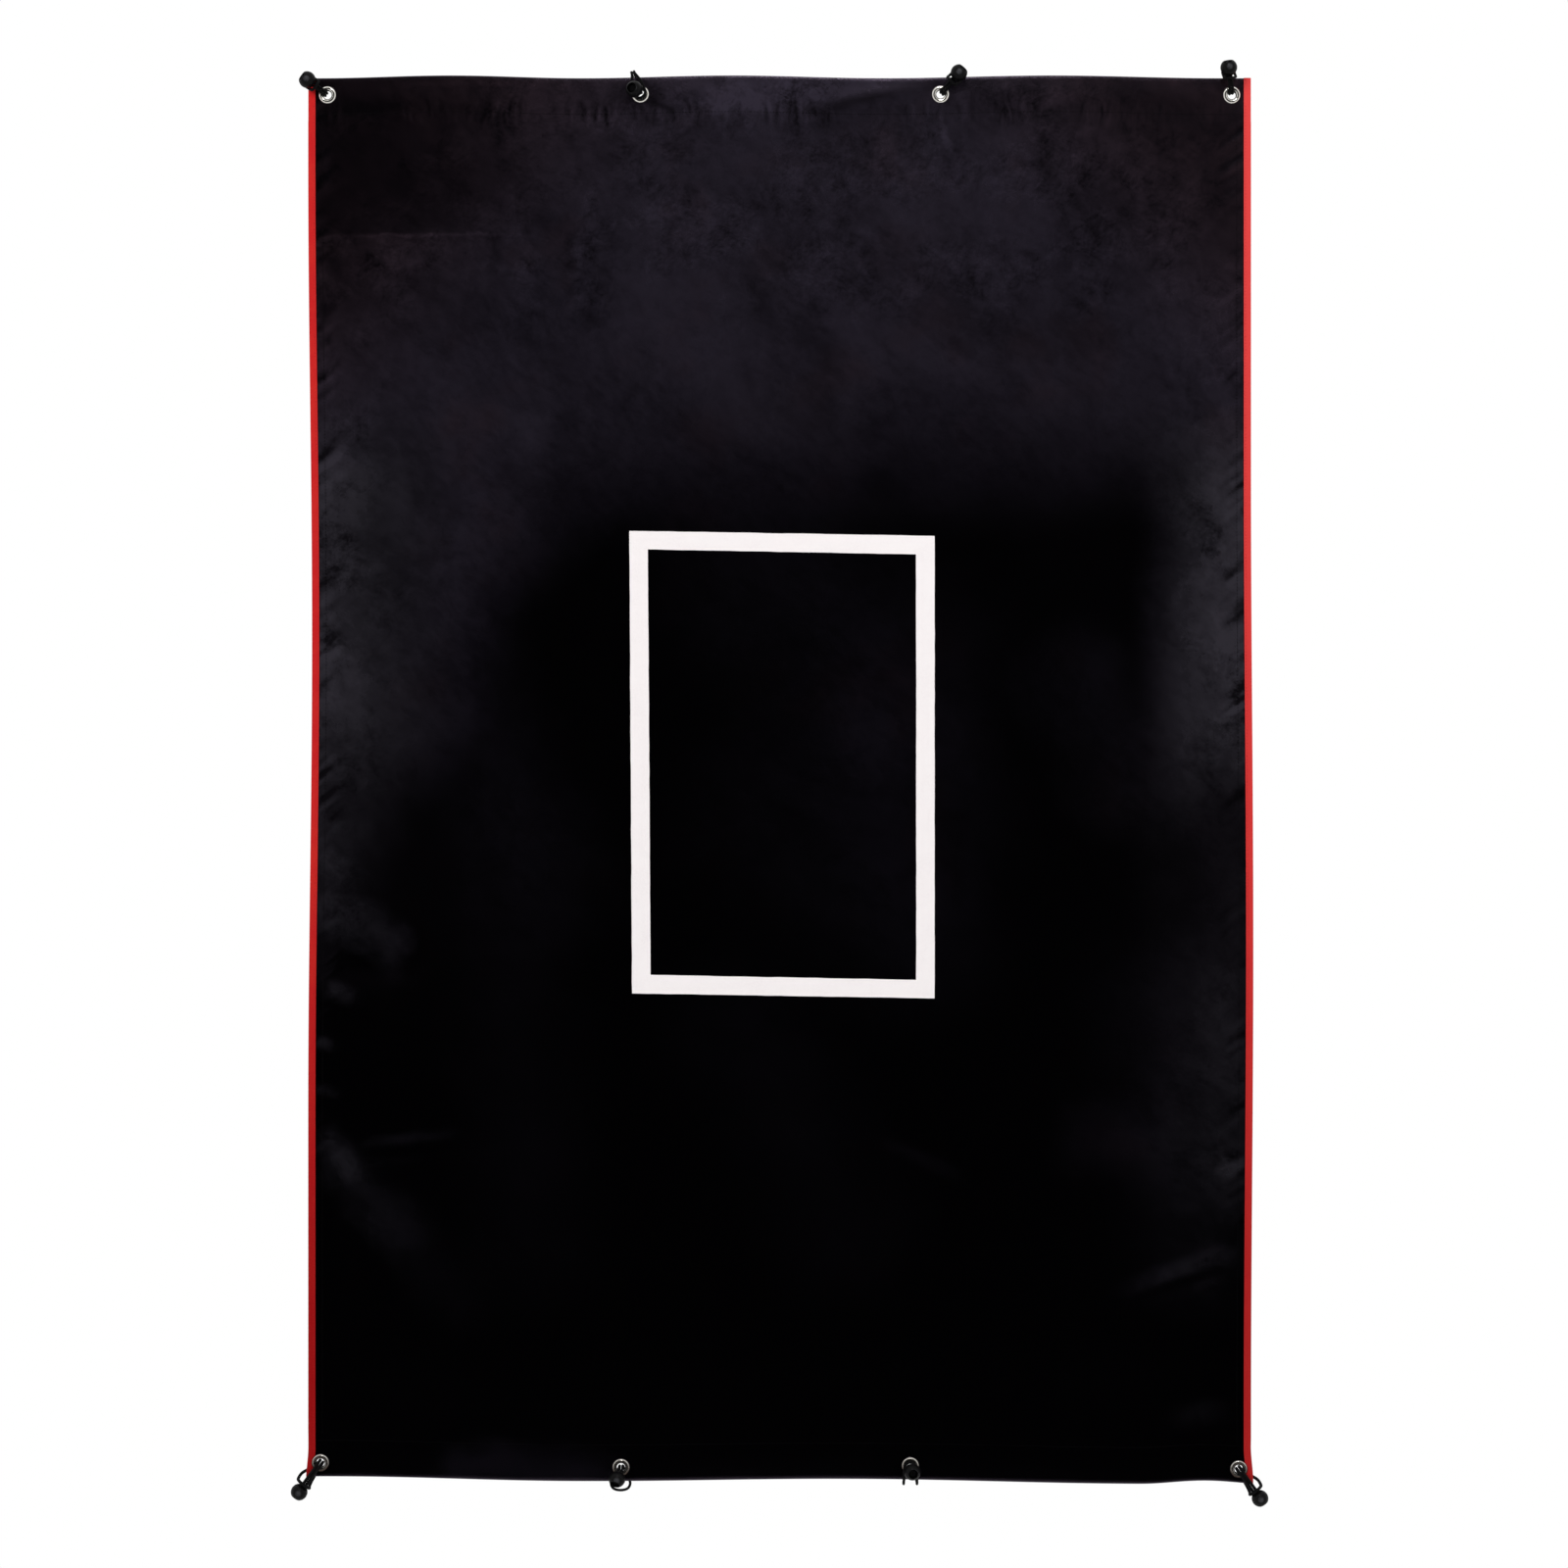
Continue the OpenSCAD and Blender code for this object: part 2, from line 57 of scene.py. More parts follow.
def setCamera():
    data = bpy.data.cameras.new("frontCamera")
    data.sensor_width = shot["sensor"]
    data.lens = shot["sensor"] * shot["distance"] / shot["seenWidth"]
    camera = addObject("frontCamera", data)
    camera.location = (shot["across"], -shot["distance"], shot["height"])
    camera.rotation_euler = (math.radians(90), 0, 0)
    bpy.context.scene.camera = camera


setCamera()
print("camera placed")


# Small tools for shapes

def ease(t):
    t = np.clip(t, 0.0, 1.0)
    return t * t * (3.0 - 2.0 * t)


def hump(distance, half):
    near = np.abs(distance) < half
    return np.where(near, np.cos(0.5 * math.pi * np.asarray(distance) / half) ** 2, 0.0)


def softNoise(x, z, spacing, seed, stretch=1.0, turn=0.0):
    # smooth hills between -1 and 1 on a turned lattice; stretch makes them longer along the turned x
    cells = 64
    lattice = np.random.RandomState(seed).uniform(-1.0, 1.0, (cells, cells))
    c, s = math.cos(math.radians(turn)), math.sin(math.radians(turn))
    u = (np.asarray(x) * c + np.asarray(z) * s) / (spacing * stretch)
    v = (np.asarray(z) * c - np.asarray(x) * s) / spacing
    iu, iv = np.floor(u).astype(int), np.floor(v).astype(int)
    fu, fv = u - iu, v - iv
    fu, fv = fu ** 3 * (fu * (6 * fu - 15) + 10), fv ** 3 * (fv * (6 * fv - 15) + 10)
    corner = lambda a, b: lattice[(iu + a) % cells, (iv + b) % cells]
    low = corner(0, 0) * (1 - fu) + corner(1, 0) * fu
    high = corner(0, 1) * (1 - fu) + corner(1, 1) * fu
    return low * (1 - fv) + high * fv


def circle(sides):
    return np.linspace(0, 2 * math.pi, sides, endpoint=False)


def unit(v):
    return v / np.linalg.norm(v)


def unitRows(v):
    return v / np.linalg.norm(v, axis=1, keepdims=True)


def wallFaces(rows, columns):
    # quads of a thin closed wall: an outer grid of points, then an inner grid of the same size
    out, back = np.arange(2 * rows * columns).reshape(2, rows, columns)
    quads = [(out[:-1, :-1], out[:-1, 1:], out[1:, 1:], out[1:, :-1]),
             (back[:-1, :-1], back[1:, :-1], back[1:, 1:], back[:-1, 1:]),
             (out[:-1, 0], out[1:, 0], back[1:, 0], back[:-1, 0]),
             (out[:-1, -1], back[:-1, -1], back[1:, -1], out[1:, -1]),
             (out[0, :-1], back[0, :-1], back[0, 1:], out[0, 1:]),
             (out[-1, :-1], out[-1, 1:], back[-1, 1:], back[-1, :-1])]
    return np.concatenate([np.stack([corner.ravel() for corner in corners], 1) for corners in quads])


def tubeFaces(rings, sides):
    # quads between rings of points, then the first and last ring as lists
    quads = [[k * sides + j, k * sides + (j + 1) % sides, (k + 1) * sides + (j + 1) % sides, (k + 1) * sides + j]
             for k in range(rings - 1) for j in range(sides)]
    return quads, list(range(sides))[::-1], [(rings - 1) * sides + j for j in range(sides)]


def volumeOf(points, faces):
    # six times the volume inside a closed mesh of quads; below zero where the faces look inwards
    a, b, c, d = (points[faces[:, k]] for k in range(4))
    return float((a * np.cross(b, c)).sum() + (a * np.cross(c, d)).sum())


def makePiece(name, points, faces, material, body, stands=(), sharpAngle=50, uv=None):
    # points are in millimetres; faces is an array of quads or a list of polygons
    points = np.asarray(points, float)
    if isinstance(faces, np.ndarray):
        faces = (faces[:, ::-1] if volumeOf(points, faces) < 0 else faces).tolist()
    mesh = bpy.data.meshes.new(name)
    mesh.from_pydata((points * mm).tolist(), [], faces)
    mesh.update()
    mesh.polygons.foreach_set("use_smooth", np.ones(len(mesh.polygons), bool))
    mesh.set_sharp_from_angle(angle=math.radians(sharpAngle))
    if uv is not None:
        corners = np.zeros(len(mesh.loops), int)
        mesh.loops.foreach_get("vertex_index", corners)
        mesh.uv_layers.new(name="cloth").data.foreach_set("uv", np.asarray(uv, np.float32)[corners].ravel())
    mesh.materials.append(material)
    piece = addObject(name, mesh)
    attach(piece, body)
    if stands:
        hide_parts(*stands)
    return piece


# Small tools for shader nodes. A Signal is one output of a node; its sums and products are Math nodes beside it.

class Signal:
    def __init__(self, socket):
        self.socket, self.tree = socket, socket.id_data

    def __add__(self, other):
        return calc("ADD", self, other)

    def __sub__(self, other):
        return calc("SUBTRACT", self, other)

    def __rsub__(self, other):
        return calc("SUBTRACT", other, self)

    def __mul__(self, other):
        return calc("MULTIPLY", self, other)

    def __truediv__(self, other):
        return calc("DIVIDE", self, other)

    def __abs__(self):
        return calc("ABSOLUTE", self)


def wire(socket, value):
    if isinstance(value, Signal):
        value.tree.links.new(value.socket, socket)
    else:
        socket.default_value = value


def newNode(tree, kind, inputs=(), **settings):
    # inputs are pairs of a socket's name or number and its value
    node = tree.nodes.new("ShaderNode" + kind)
    for name, value in settings.items():
        setattr(node, name, value)
    for key, value in dict(inputs).items():
        wire(node.inputs[key], value)
    return node


def treeOf(values):
    return next(value.tree for value in values if isinstance(value, Signal))


def calc(operation, *values, clamp=False):
    return Signal(newNode(treeOf(values), "Math", enumerate(values), operation=operation, use_clamp=clamp).outputs[0])


def largest(a, b):
    return calc("MAXIMUM", a, b)


def calcVector(operation, *values):
    keys = (0, "Scale") if operation == "SCALE" else (0, 1, 2)
    result = "Value" if operation in ("DOT_PRODUCT", "DISTANCE", "LENGTH") else "Vector"
    return Signal(newNode(treeOf(values), "VectorMath", zip(keys, values), operation=operation).outputs[result])


def fit(value, fromLow, fromHigh, toLow=0.0, toHigh=1.0, kind="SMOOTHSTEP"):
    names = ("Value", "From Min", "From Max", "To Min", "To Max")
    inputs = zip(names, (value, fromLow, fromHigh, toLow, toHigh))
    return Signal(newNode(value.tree, "MapRange", inputs, interpolation_type=kind).outputs["Result"])


def fade(value, full, gone, least=0.0):
    return fit(value, full, gone, 1.0, least)


def blendColour(factor, a, b):
    return Signal(newNode(factor.tree, "Mix", {"Factor": factor, 6: a, 7: b}, data_type="RGBA").outputs[2])


def place(vector, scale=(1, 1, 1), turn=(0, 0, 0), shift=(0, 0, 0), kind="POINT"):
    # as TEXTURE, scale draws the pattern out along the turned axes
    inputs = {"Vector": vector, "Location": shift, "Rotation": [math.radians(t) for t in turn], "Scale": scale}
    return Signal(newNode(vector.tree, "Mapping", inputs, vector_type=kind).outputs["Vector"])


def drawn(vector, along, turn, shift=(0, 0, 0)):
    # the place for a pattern drawn out along a line turned by so many degrees
    return place(vector, (along, 1, 1), (0, 0, turn), shift, "TEXTURE")


def cloud(vector, scale, detail=3.0, rough=0.55, twist=0.0):
    inputs = {"Vector": vector, "Scale": scale, "Detail": detail, "Roughness": rough, "Distortion": twist}
    return Signal(newNode(vector.tree, "TexNoise", inputs).outputs["Fac"])


def joined(*values):
    return Signal(newNode(treeOf(values), "CombineXYZ", enumerate(values)).outputs[0])


def axes(vector):
    return [Signal(socket) for socket in newNode(vector.tree, "SeparateXYZ", {0: vector}).outputs]


def coordinates(tree, kind="Object"):
    return Signal(newNode(tree, "TexCoord").outputs[kind])


def clothPoint(tree):
    return Signal(newNode(tree, "UVMap", uv_map="cloth").outputs["UV"])


def effect(**inputs):
    # makes a function of signals into a node group that materials share; the group's use is a call of the same name
    def group(make):
        tree = bpy.data.node_groups.new(make.__name__, "ShaderNodeTree")
        for name, value in inputs.items():
            kind = "NodeSocketFloat" if isinstance(value, float) else "NodeSocketVector"
            tree.interface.new_socket(name, in_out="INPUT", socket_type=kind).default_value = value
        made = make(*[Signal(socket) for socket in tree.nodes.new("NodeGroupInput").outputs[:len(inputs)]])
        for name in made:
            tree.interface.new_socket(name, in_out="OUTPUT", socket_type="NodeSocketFloat")
        outputs = tree.nodes.new("NodeGroupOutput").inputs
        for name, value in made.items():
            wire(outputs[name], value)

        def use(**values):
            node = newNode(treeOf(values.values()), "Group", values, node_tree=tree)
            return {socket.name: Signal(socket) for socket in node.outputs}
        return use
    return group


def newMaterial(name, **sockets):
    # constant values sit on the shader's own sockets
    material = bpy.data.materials.new(name)
    material.use_nodes = True
    for label, value in sockets.items():
        material.node_tree.nodes["Principled BSDF"].inputs[label.replace("_", " ")].default_value = value
    return material, material.node_tree


def dress(material, colour, roughness, height, depth=1.0):
    # height times depth is in metres
    shader = material.node_tree.nodes["Principled BSDF"].inputs
    wire(shader["Base Color"], colour)
    wire(shader["Roughness"], roughness)
    bump = newNode(height.tree, "Bump", {"Strength": 1.0, "Distance": depth, "Height": height})
    wire(shader["Normal"], Signal(bump.outputs["Normal"]))
    return material


# Effects that several materials share

@effect(Vector=(0, 0, 0), Cells=700.0, Softness=0.5)
def pebbleGrain(vector, cells, softness):
    # embossed leather pebbles: rounded cells with fine noise on them
    inputs = {"Vector": vector, "Scale": cells, "Smoothness": softness}
    pebble = 1.0 - Signal(newNode(vector.tree, "TexVoronoi", inputs, feature="SMOOTH_F1").outputs["Distance"])
    return {"Height": cloud(vector, cells * 2.3, 2.0) * 0.35 + pebble, "Mask": fit(pebble, 0.35, 0.8)}


@effect(Vector=(0, 0, 0), Scale=20.0, Creases=0.4)
def softCrinkle(vector, scale, creases):
    # crooked swells and finer creases where a coated cloth has been folded and shaken out again;
    # Lit is how far a spot faces the light, from about -1 to 1
    finer = scale * 1.9

    def surface(x, y):
        swell = cloud(drawn(vector, 1.7, 52, (x, y, 0)), scale, 3.0, 0.56, 0.15)
        fine = cloud(drawn(vector, 1.6, -38, (x + 2, y, 0)), finer, 2.0, 0.5, 0.15)
        ridge = calc("SUBTRACT", 1.0, abs(fine * 5.0 - 2.5), clamp=True)
        return ridge * creases * 0.06 + swell, swell, fine

    height, swell, fine = surface(0.0, 0.0)
    towards = surface(0.0009, 0.0013)[0]
    mask = fit(fine * 0.35 + swell * 0.65, 0.38, 0.62, kind="LINEAR")
    return {"Height": height, "Mask": mask, "Lit": (height - towards) * 9.0}


@effect(Vector=(0, 0, 0), Scale=8.0, Amount=1.0)
def cloudyPatches(vector, scale, amount):
    # cloudy patches between 0 and 1: handled or dusted spots on most pieces, and on the vinyl the patchiness of its
    # painted sheen
    broad, fine = cloud(vector, scale, 4.0, 0.6, 0.4), cloud(vector, scale * 9.0, 3.0, 0.7)
    return {"Mask": fit(fine * 0.3 + broad * 0.7, 0.36, 0.66) * amount}


@effect(Across=0.0, Along=0.0, Reach=0.02, PerMetre=60.0, Seed=0.0)
def seamPuckers(across, along, reach, perMetre, seed):
    # soft ridges square to a stitched line, here and there, fading away from it; Across is the metres from it
    def ridgeAt(step):
        where = joined(along * perMetre + step, across * (perMetre * 0.35), seed)
        return fit(cloud(where, 1.0, 1.5, 0.5), 0.4, 0.7)

    ridge = ridgeAt(0.0)
    some = fit(cloud(joined(along * 9.0, seed), 1.0, 1.0, 0.5), 0.4, 0.6, 0.15, 1.0)
    near = some * fade(abs(across) / reach, 0.05, 1.0)
    return {"Height": ridge * near, "Lit": (ridge - ridgeAt(0.22)) * near}


@effect(Vector=(0, 0, 0), From=(0, 0, 0), To=(0.1, 0, 0), Reach=0.02, Taper=0.0)
def softMark(vector, start, end, reach, taper):
    # a soft stroke between two places, both in the same coordinates as Vector
    path, reached = calcVector("SUBTRACT", end, start), calcVector("SUBTRACT", vector, start)
    share = calc("DIVIDE", calcVector("DOT_PRODUCT", reached, path), calcVector("DOT_PRODUCT", path, path), clamp=True)
    mask = fade(calcVector("DISTANCE", reached, calcVector("SCALE", path, share)), 0.0, reach)
    middle = share * (1.0 - share) * 4.0
    return {"Mask": mask * (1.0 - taper * (1.0 - middle))}


@effect(Vector=(0, 0, 0), Strands=8.0)
def braidCover(vector, strands):
    # an over-and-under braid; Vector runs once round the cord along x and along it on y
    x, y, _ = axes(vector)
    a, b = (x + y) * strands, (x - y) * strands
    over = calc("MODULO", abs(calc("FLOOR", a) + calc("FLOOR", b)), 2.0)
    rise = lambda v: calc("POWER", calc("SINE", calc("FRACT", v) * math.pi), 0.6)
    height = rise(a) * over + rise(b) * (1.0 - over)
    return {"Height": height, "Mask": fit(height, 0.3, 0.95)}


@effect(Vector=(0, 0, 0), Scale=300.0)
def wornMetal(vector, scale):
    # hair scratches and dull spots of plated metal
    scratch = cloud(place(vector, (1, 12, 1), (0, 38, 20)), scale, 2.0, 0.7)
    spots = cloud(vector, scale * 0.9, 4.0, 0.65)
    dullAndShaded = fit(spots, 0.5, 0.72)
    return {"Height": scratch * 0.4 + spots, "Roughness": dullAndShaded * 0.22 + scratch * 0.1 + 0.1, "Mask": dullAndShaded}


print("shared effects built")


# The vinyl's finish. Depths and reaches are in metres, scales are per metre. A painted sheen, standing in for reflected
# soft light, lies over the top, down both sides and across the top left corner; each reach is where it is full and
# where it is gone.
vinylLook = {
    "blackest": (0.0002, 0.00018, 0.00026, 1), "cool": (0.0225, 0.0186, 0.0292, 1),
    "warm": (0.0265, 0.015, 0.0192, 1), "sideSheenTint": (0.0245, 0.0226, 0.0288, 1), "specularTint": (0.9, 0.72, 1.0, 1),
    "paintedSheen": 0.355, "wander": 0.14, "topReach": (0.37, 0.64), "topSlope": 0.035,
    "slant": (0.844, 0.535), "slantReach": (0.45, 0.66),
    "rightReach": (0.06, 0.165), "rightThins": (0.84, 0.98, 0.22), "rightEnd": (1.4, 1.5),
    "sideGlow": 0.9, "glowLeft": (0.015, 0.1), "glowRight": (0.02, 0.13, 1.5, 0.0),
    "glowFrom": (0.4, 0.56), "glowTo": (0.78, 0.95),
    "cornerShade": 0.72, "cornerShadeAcross": (0.08, 0.38), "cornerShadeLine": (0.2, 0.207, 0.3), "cornerShadeTo": (0.2, 0.32),
    "warmLeft": (0.15, 0.6), "warmRight": (0.1, 0.5), "sideSheenAcross": (0.05, 0.22), "sideSheenFrom": (0.38, 0.55),
    "roughness": (0.13, 0.2), "grainCells": 620.0, "grainDepth": 0.00002,
    "crinkleScale": 44.0, "crinkleDepth": 0.0002, "crinkleLight": 0.7, "patchy": 0.7, "speckle": 3.0,
    # depth, share of light and dark, reach, ridges per metre and seed
    "hemLine": 0.047, "puckers": {"side": (0.0007, 2.2, 0.042, 30.0, 3.0), "top": (0.00025, 1.3, 0.026, 70.0, 11.0),
                                  "bottom": (0.00025, 0.0, 0.022, 60.0, 23.0)},
}
# Strokes of painted sheen and painted highlight on lit folds, and of painted shade that leaves creases black: across
# and down from the top left corner at the start and the end, reach and strength. Broad ones have the more crooked
# edges, given as a scale per metre and a size in metres, and don't taper.
paintedLightStrokes = {
    "paintedSheen": [
        (600, 640, 742, 787, 230, 0.07), (742, 850, 805, 978, 170, 0.06), (590, 960, 780, 1120, 170, 0.05),
        (146, 711, 311, 1040, 130, 0.06), (564, 1230, 690, 1480, 150, 0.035), (995, 787, 1058, 914, 110, 0.08),
        (1010, 1370, 1100, 1370, 70, 0.06), (1090, 1200, 1150, 1500, 130, 0.05), (1180, 1180, 1190, 1440, 50, 0.09),
        (5, 1012, 52, 1036, 34, 0.2), (22, 1075, 105, 1132, 44, 0.24), (20, 1180, 62, 1196, 20, 0.16),
        (4, 1252, 34, 1256, 12, 0.16), (4, 1312, 40, 1318, 12, 0.14), (14, 1362, 66, 1436, 30, 0.24),
        (50, 1420, 120, 1500, 52, 0.09), (100, 1480, 190, 1580, 70, 0.035), (60, 1385, 190, 1369, 12, 0.1),
        (1176, 1400, 1206, 1416, 24, 0.24), (1209, 1516, 1046, 1567, 22, 0.15), (742, 1377, 849, 1427, 16, 0.06),
        (1109, 1735, 1198, 1722, 26, 0.06), (430, 24, 770, 12, 34, 0.42), (470, 40, 640, 36, 16, 0.2),
        (133, 10, 361, 6, 9, 0.16), (818, 60, 836, 104, 8, 0.35), (20, 207, 292, 205, 4, 0.16),
        (900, 20, 1040, 30, 20, 0.12), (200, 1796, 380, 1800, 44, 0.09), (240, 1000, 290, 1500, 130, 0.03),
    ],
    "paintedShade": [
        (40, 110, 250, 130, 120, 0.3), (30, 38, 130, 42, 22, 0.8), (431, 27, 488, 50, 10, 0.7),
        (640, 46, 800, 8, 14, 0.75), (232, 235, 250, 240, 34, 0.4), (15, 216, 44, 262, 24, 0.6),
        (1050, 12, 1195, 60, 60, 0.6), (1110, 90, 1190, 170, 130, 0.4), (980, 50, 1010, 60, 20, 0.4),
        (1128, 1010, 1140, 1060, 60, 0.75), (20, 1150, 110, 1178, 20, 0.7), (64, 1396, 178, 1383, 9, 0.8),
        (1209, 1530, 1046, 1583, 12, 0.8),
    ],
    "broadFrom": 40, "taper": 0.9, "raggedBroad": (16.0, 0.06), "raggedFine": (40.0, 0.012),
}


def shaken(vector, scale, size):
    # the same place, moved a little to and fro
    jolt = Signal(newNode(vector.tree, "TexNoise", {"Vector": vector, "Scale": scale}).outputs["Color"])
    return calcVector("MULTIPLY_ADD", jolt, (size, size, 0.0), place(vector, shift=(-size / 2, -size / 2, 0)))


def clothMarks(marks, ragged):
    # the strokes' masks times their strengths
    for x0, y0, x1, y1, reach, strength in marks:
        broad = reach > paintedLightStrokes["broadFrom"]
        mark = softMark(Vector=ragged[0 if broad else 1], From=(x0 * mm, y0 * mm, 0), To=(x1 * mm, y1 * mm, 0),
                        Reach=reach * mm, Taper=0.0 if broad else paintedLightStrokes["taper"])
        yield mark["Mask"] * strength


def vinylMaterial():
    look = vinylLook
    material, tree = newMaterial("blackVinyl", Specular_Tint=look["specularTint"], Specular_IOR_Level=0.5)
    flat = clothPoint(tree)
    across, down, _ = axes(flat)
    fromRight = sheetCut["width"] * mm - across
    fromSide = calc("MINIMUM", across, fromRight)
    crinkle = softCrinkle(Vector=flat, Scale=look["crinkleScale"], Creases=0.6)
    grain = pebbleGrain(Vector=flat, Cells=look["grainCells"], Softness=0.6)
    patches = cloudyPatches(Vector=drawn(flat, 1.6, 40), Scale=8.0)

    # the painted sheen's broad shape, with crooked edges, and a painted glow further down both sides
    wander = (cloud(flat, 4.5, 3.0, 0.5) - 0.5) * look["wander"]
    overTop = fade(across * look["topSlope"] + down + wander * 0.45, *look["topReach"])
    onLeft = fade(across * look["slant"][0] + down * look["slant"][1] + wander, *look["slantReach"])
    onRight = fade(wander * 0.5 + fromRight, *look["rightReach"]) * fade(down, *look["rightThins"])
    onRight = onRight * fade(down, *look["rightEnd"])
    broad = 1.0 - (1.0 - overTop) * (1.0 - onLeft) * (1.0 - onRight)
    glow = largest(fade(across, *look["glowLeft"]), fit(fromRight, *look["glowRight"]))
    glow = glow * fit(down, *look["glowFrom"]) * fade(down, *look["glowTo"])
    # painted shade: one corner under the top hem gets less of the painted sheen, where a fold there lies in shade
    cornerShade = fade(wander * 0.5 + across, *look["cornerShadeAcross"]) * fade(down, *look["cornerShadeLine"])
    cornerShade = cornerShade * fade(down, *look["cornerShadeTo"])
    # how crinkled it is: most at the top and the sides, and here and there
    rough = largest(fade(down, 0.22, 0.36, 0.2), fit(fromSide, 0.03, 0.14, 0.7, 0.2))
    rough = rough * fit(cloud(flat, 13.0, 2.0, 0.5, 0.5), 0.38, 0.62, 0.3, 1.3)
    speckle = cloud(drawn(flat, 1.3, 60), 26.0, 7.0, 0.72, 0.4)

    # puckers beside the tapes and along both hem seams
    fromTop, fromBottom = (abs(v) - look["hemLine"] for v in (down, sheetCut["height"] * mm - down))
    lines = {"side": (fromSide - 0.009, across * 0.7 + down), "top": (fromTop, across), "bottom": (fromBottom, across)}
    puckers = []
    for name, (off, along) in lines.items():
        depth, share, reach, perMetre, seed = look["puckers"][name]
        pucker = seamPuckers(Across=off, Along=along, Reach=reach, PerMetre=perMetre, Seed=seed)
        puckers.append((pucker["Height"] * depth, pucker["Lit"] * share))

    # painted light and shade on the sides of the crinkles and puckers that face towards and away from the light, with
    # random mottling, all scaling the painted sheen
    mottle = (crinkle["Mask"] - 0.5) * rough * 0.35 + patches["Mask"] * look["patchy"] + (1 - look["patchy"] / 2)
    mottle = mottle + (speckle - 0.5) * look["speckle"] * fit(rough, 0.1, 0.8, 0.3, 1.0)
    mottle = mottle + crinkle["Lit"] * rough * look["crinkleLight"]
    for _, lit in puckers:
        mottle = mottle + lit
    # painted sheen: how far the vinyl's colour is lifted from black, standing in for reflected light
    amount = broad * (glow * look["sideGlow"] + 1.0) * (1.0 - cornerShade * look["cornerShade"]) * look["paintedSheen"]
    ragged = [shaken(flat, *paintedLightStrokes["raggedBroad"]), shaken(flat, *paintedLightStrokes["raggedFine"])]
    # painted highlights along lit folds and glows of painted sheen
    for mark in clothMarks(paintedLightStrokes["paintedSheen"], ragged):
        amount = amount + mark
    # painted shade in creases and on folds turned away from the light
    for mark in clothMarks(paintedLightStrokes["paintedShade"], ragged):
        amount = amount * (1.0 - mark)
    amount = amount * largest(mottle, 0.12)
    warmth = largest(fade(across + down, *look["warmLeft"]), fade(fromRight + down, *look["warmRight"]))
    warmth = largest(warmth, fit(cloud(flat, 7.0, 3.0, 0.55), 0.5, 0.72, 0.0, 0.4))
    sideSheenShare = fade(fromSide, *look["sideSheenAcross"]) * fit(down, *look["sideSheenFrom"])
    # the painted sheen's hue: warmer at the top corners and in patches, greyer low down the sides
    colour = blendColour(sideSheenShare, blendColour(warmth, look["cool"], look["warm"]), look["sideSheenTint"])
    colour = blendColour(amount, look["blackest"], colour)
    roughness = fit(broad - grain["Mask"] * 0.2, -0.2, 1.0, *look["roughness"], "LINEAR")

    relief = crinkle["Height"] * (broad * rough * 0.8 + 0.2) * look["crinkleDepth"]
    for height, _ in puckers:
        relief = relief + height
    return dress(material, colour, roughness, relief + grain["Height"] * look["grainDepth"])


tapeLook = {
    "red": (0.53, 0.013, 0.015, 1), "worn": (0.6, 0.026, 0.018, 1), "brightRed": (0.74, 0.058, 0.056, 1),
    "paintedShadeRed": (0.27, 0.002, 0.003, 1), "roughness": (0.4, 0.55), "crinkle": 0.0003, "grain": 0.00005,
}


def tapeMaterial():
    look = tapeLook
    material, tree = newMaterial("redTape", Specular_IOR_Level=0.12)
    point = coordinates(tree)
    x, _, z = axes(point)
    grain = pebbleGrain(Vector=point, Cells=900.0, Softness=0.8)
    crinkle = softCrinkle(Vector=place(point, turn=(90, 0, 0)), Scale=70.0, Creases=0.5)
    patches = cloudyPatches(Vector=point, Scale=14.0)["Mask"]
    # the right tape is brighter towards the top, and both darken downwards as painted shade, where less light falls low
    # on the sheet
    right = fit(x, -0.1, 0.1)
    colour = blendColour(patches * 0.6, look["red"], look["worn"])
    colour = blendColour(right * fit(z, -1.3, 0.0, 0.35, 0.9), colour, look["brightRed"])
    colour = blendColour(fade(z, -1.75, -0.9) * (0.9 - right * 0.25), colour, look["paintedShadeRed"])
    height = crinkle["Height"] * look["crinkle"] + grain["Height"] * look["grain"]
    return dress(material, colour, fit(patches, 0.0, 1.0, *look["roughness"], "LINEAR"), height)


printLook = {"white": (0.965, 0.915, 0.915, 1), "thin": (0.86, 0.8, 0.81, 1), "roughness": (0.5, 0.62),
             "grain": 0.00004}


def printMaterial():
    # screen-printed ink: follows the vinyl's grain and thins a little in it
    look, share = printLook, 0.35
    material, tree = newMaterial("whitePrint", Specular_IOR_Level=0.3)
    flat = clothPoint(tree)
    grain = pebbleGrain(Vector=flat, Cells=vinylLook["grainCells"], Softness=0.8)
    patches = cloudyPatches(Vector=flat, Scale=30.0, Amount=share)["Mask"]
    colour = blendColour((1.0 - grain["Mask"]) * patches, look["white"], look["thin"])
    roughness = fit(patches, 0.0, share, *look["roughness"], "LINEAR")
    return dress(material, colour, roughness, grain["Height"] * look["grain"])


def threadMaterial(name, colour, dusty, gloss):
    # twisted thread: a fine slanting rib with a little fuzz
    material, tree = newMaterial(name, Specular_IOR_Level=gloss)
    point = coordinates(tree)
    ribs = cloud(place(point, (1, 1, 2.2), (0, 35, 0)), 2600.0, 1.0)
    patches = cloudyPatches(Vector=point, Scale=60.0)["Mask"]
    return dress(material, blendColour(patches, colour, dusty), fit(ribs, 0.3, 0.7, 0.5, 0.75, "LINEAR"), ribs, 0.0001)


nickelLook = {"plate": (0.88, 0.85, 0.79, 1), "worn": (0.6, 0.56, 0.5, 1), "dullAndShaded": (0.06, 0.042, 0.032, 1),
              "depth": 0.00006}


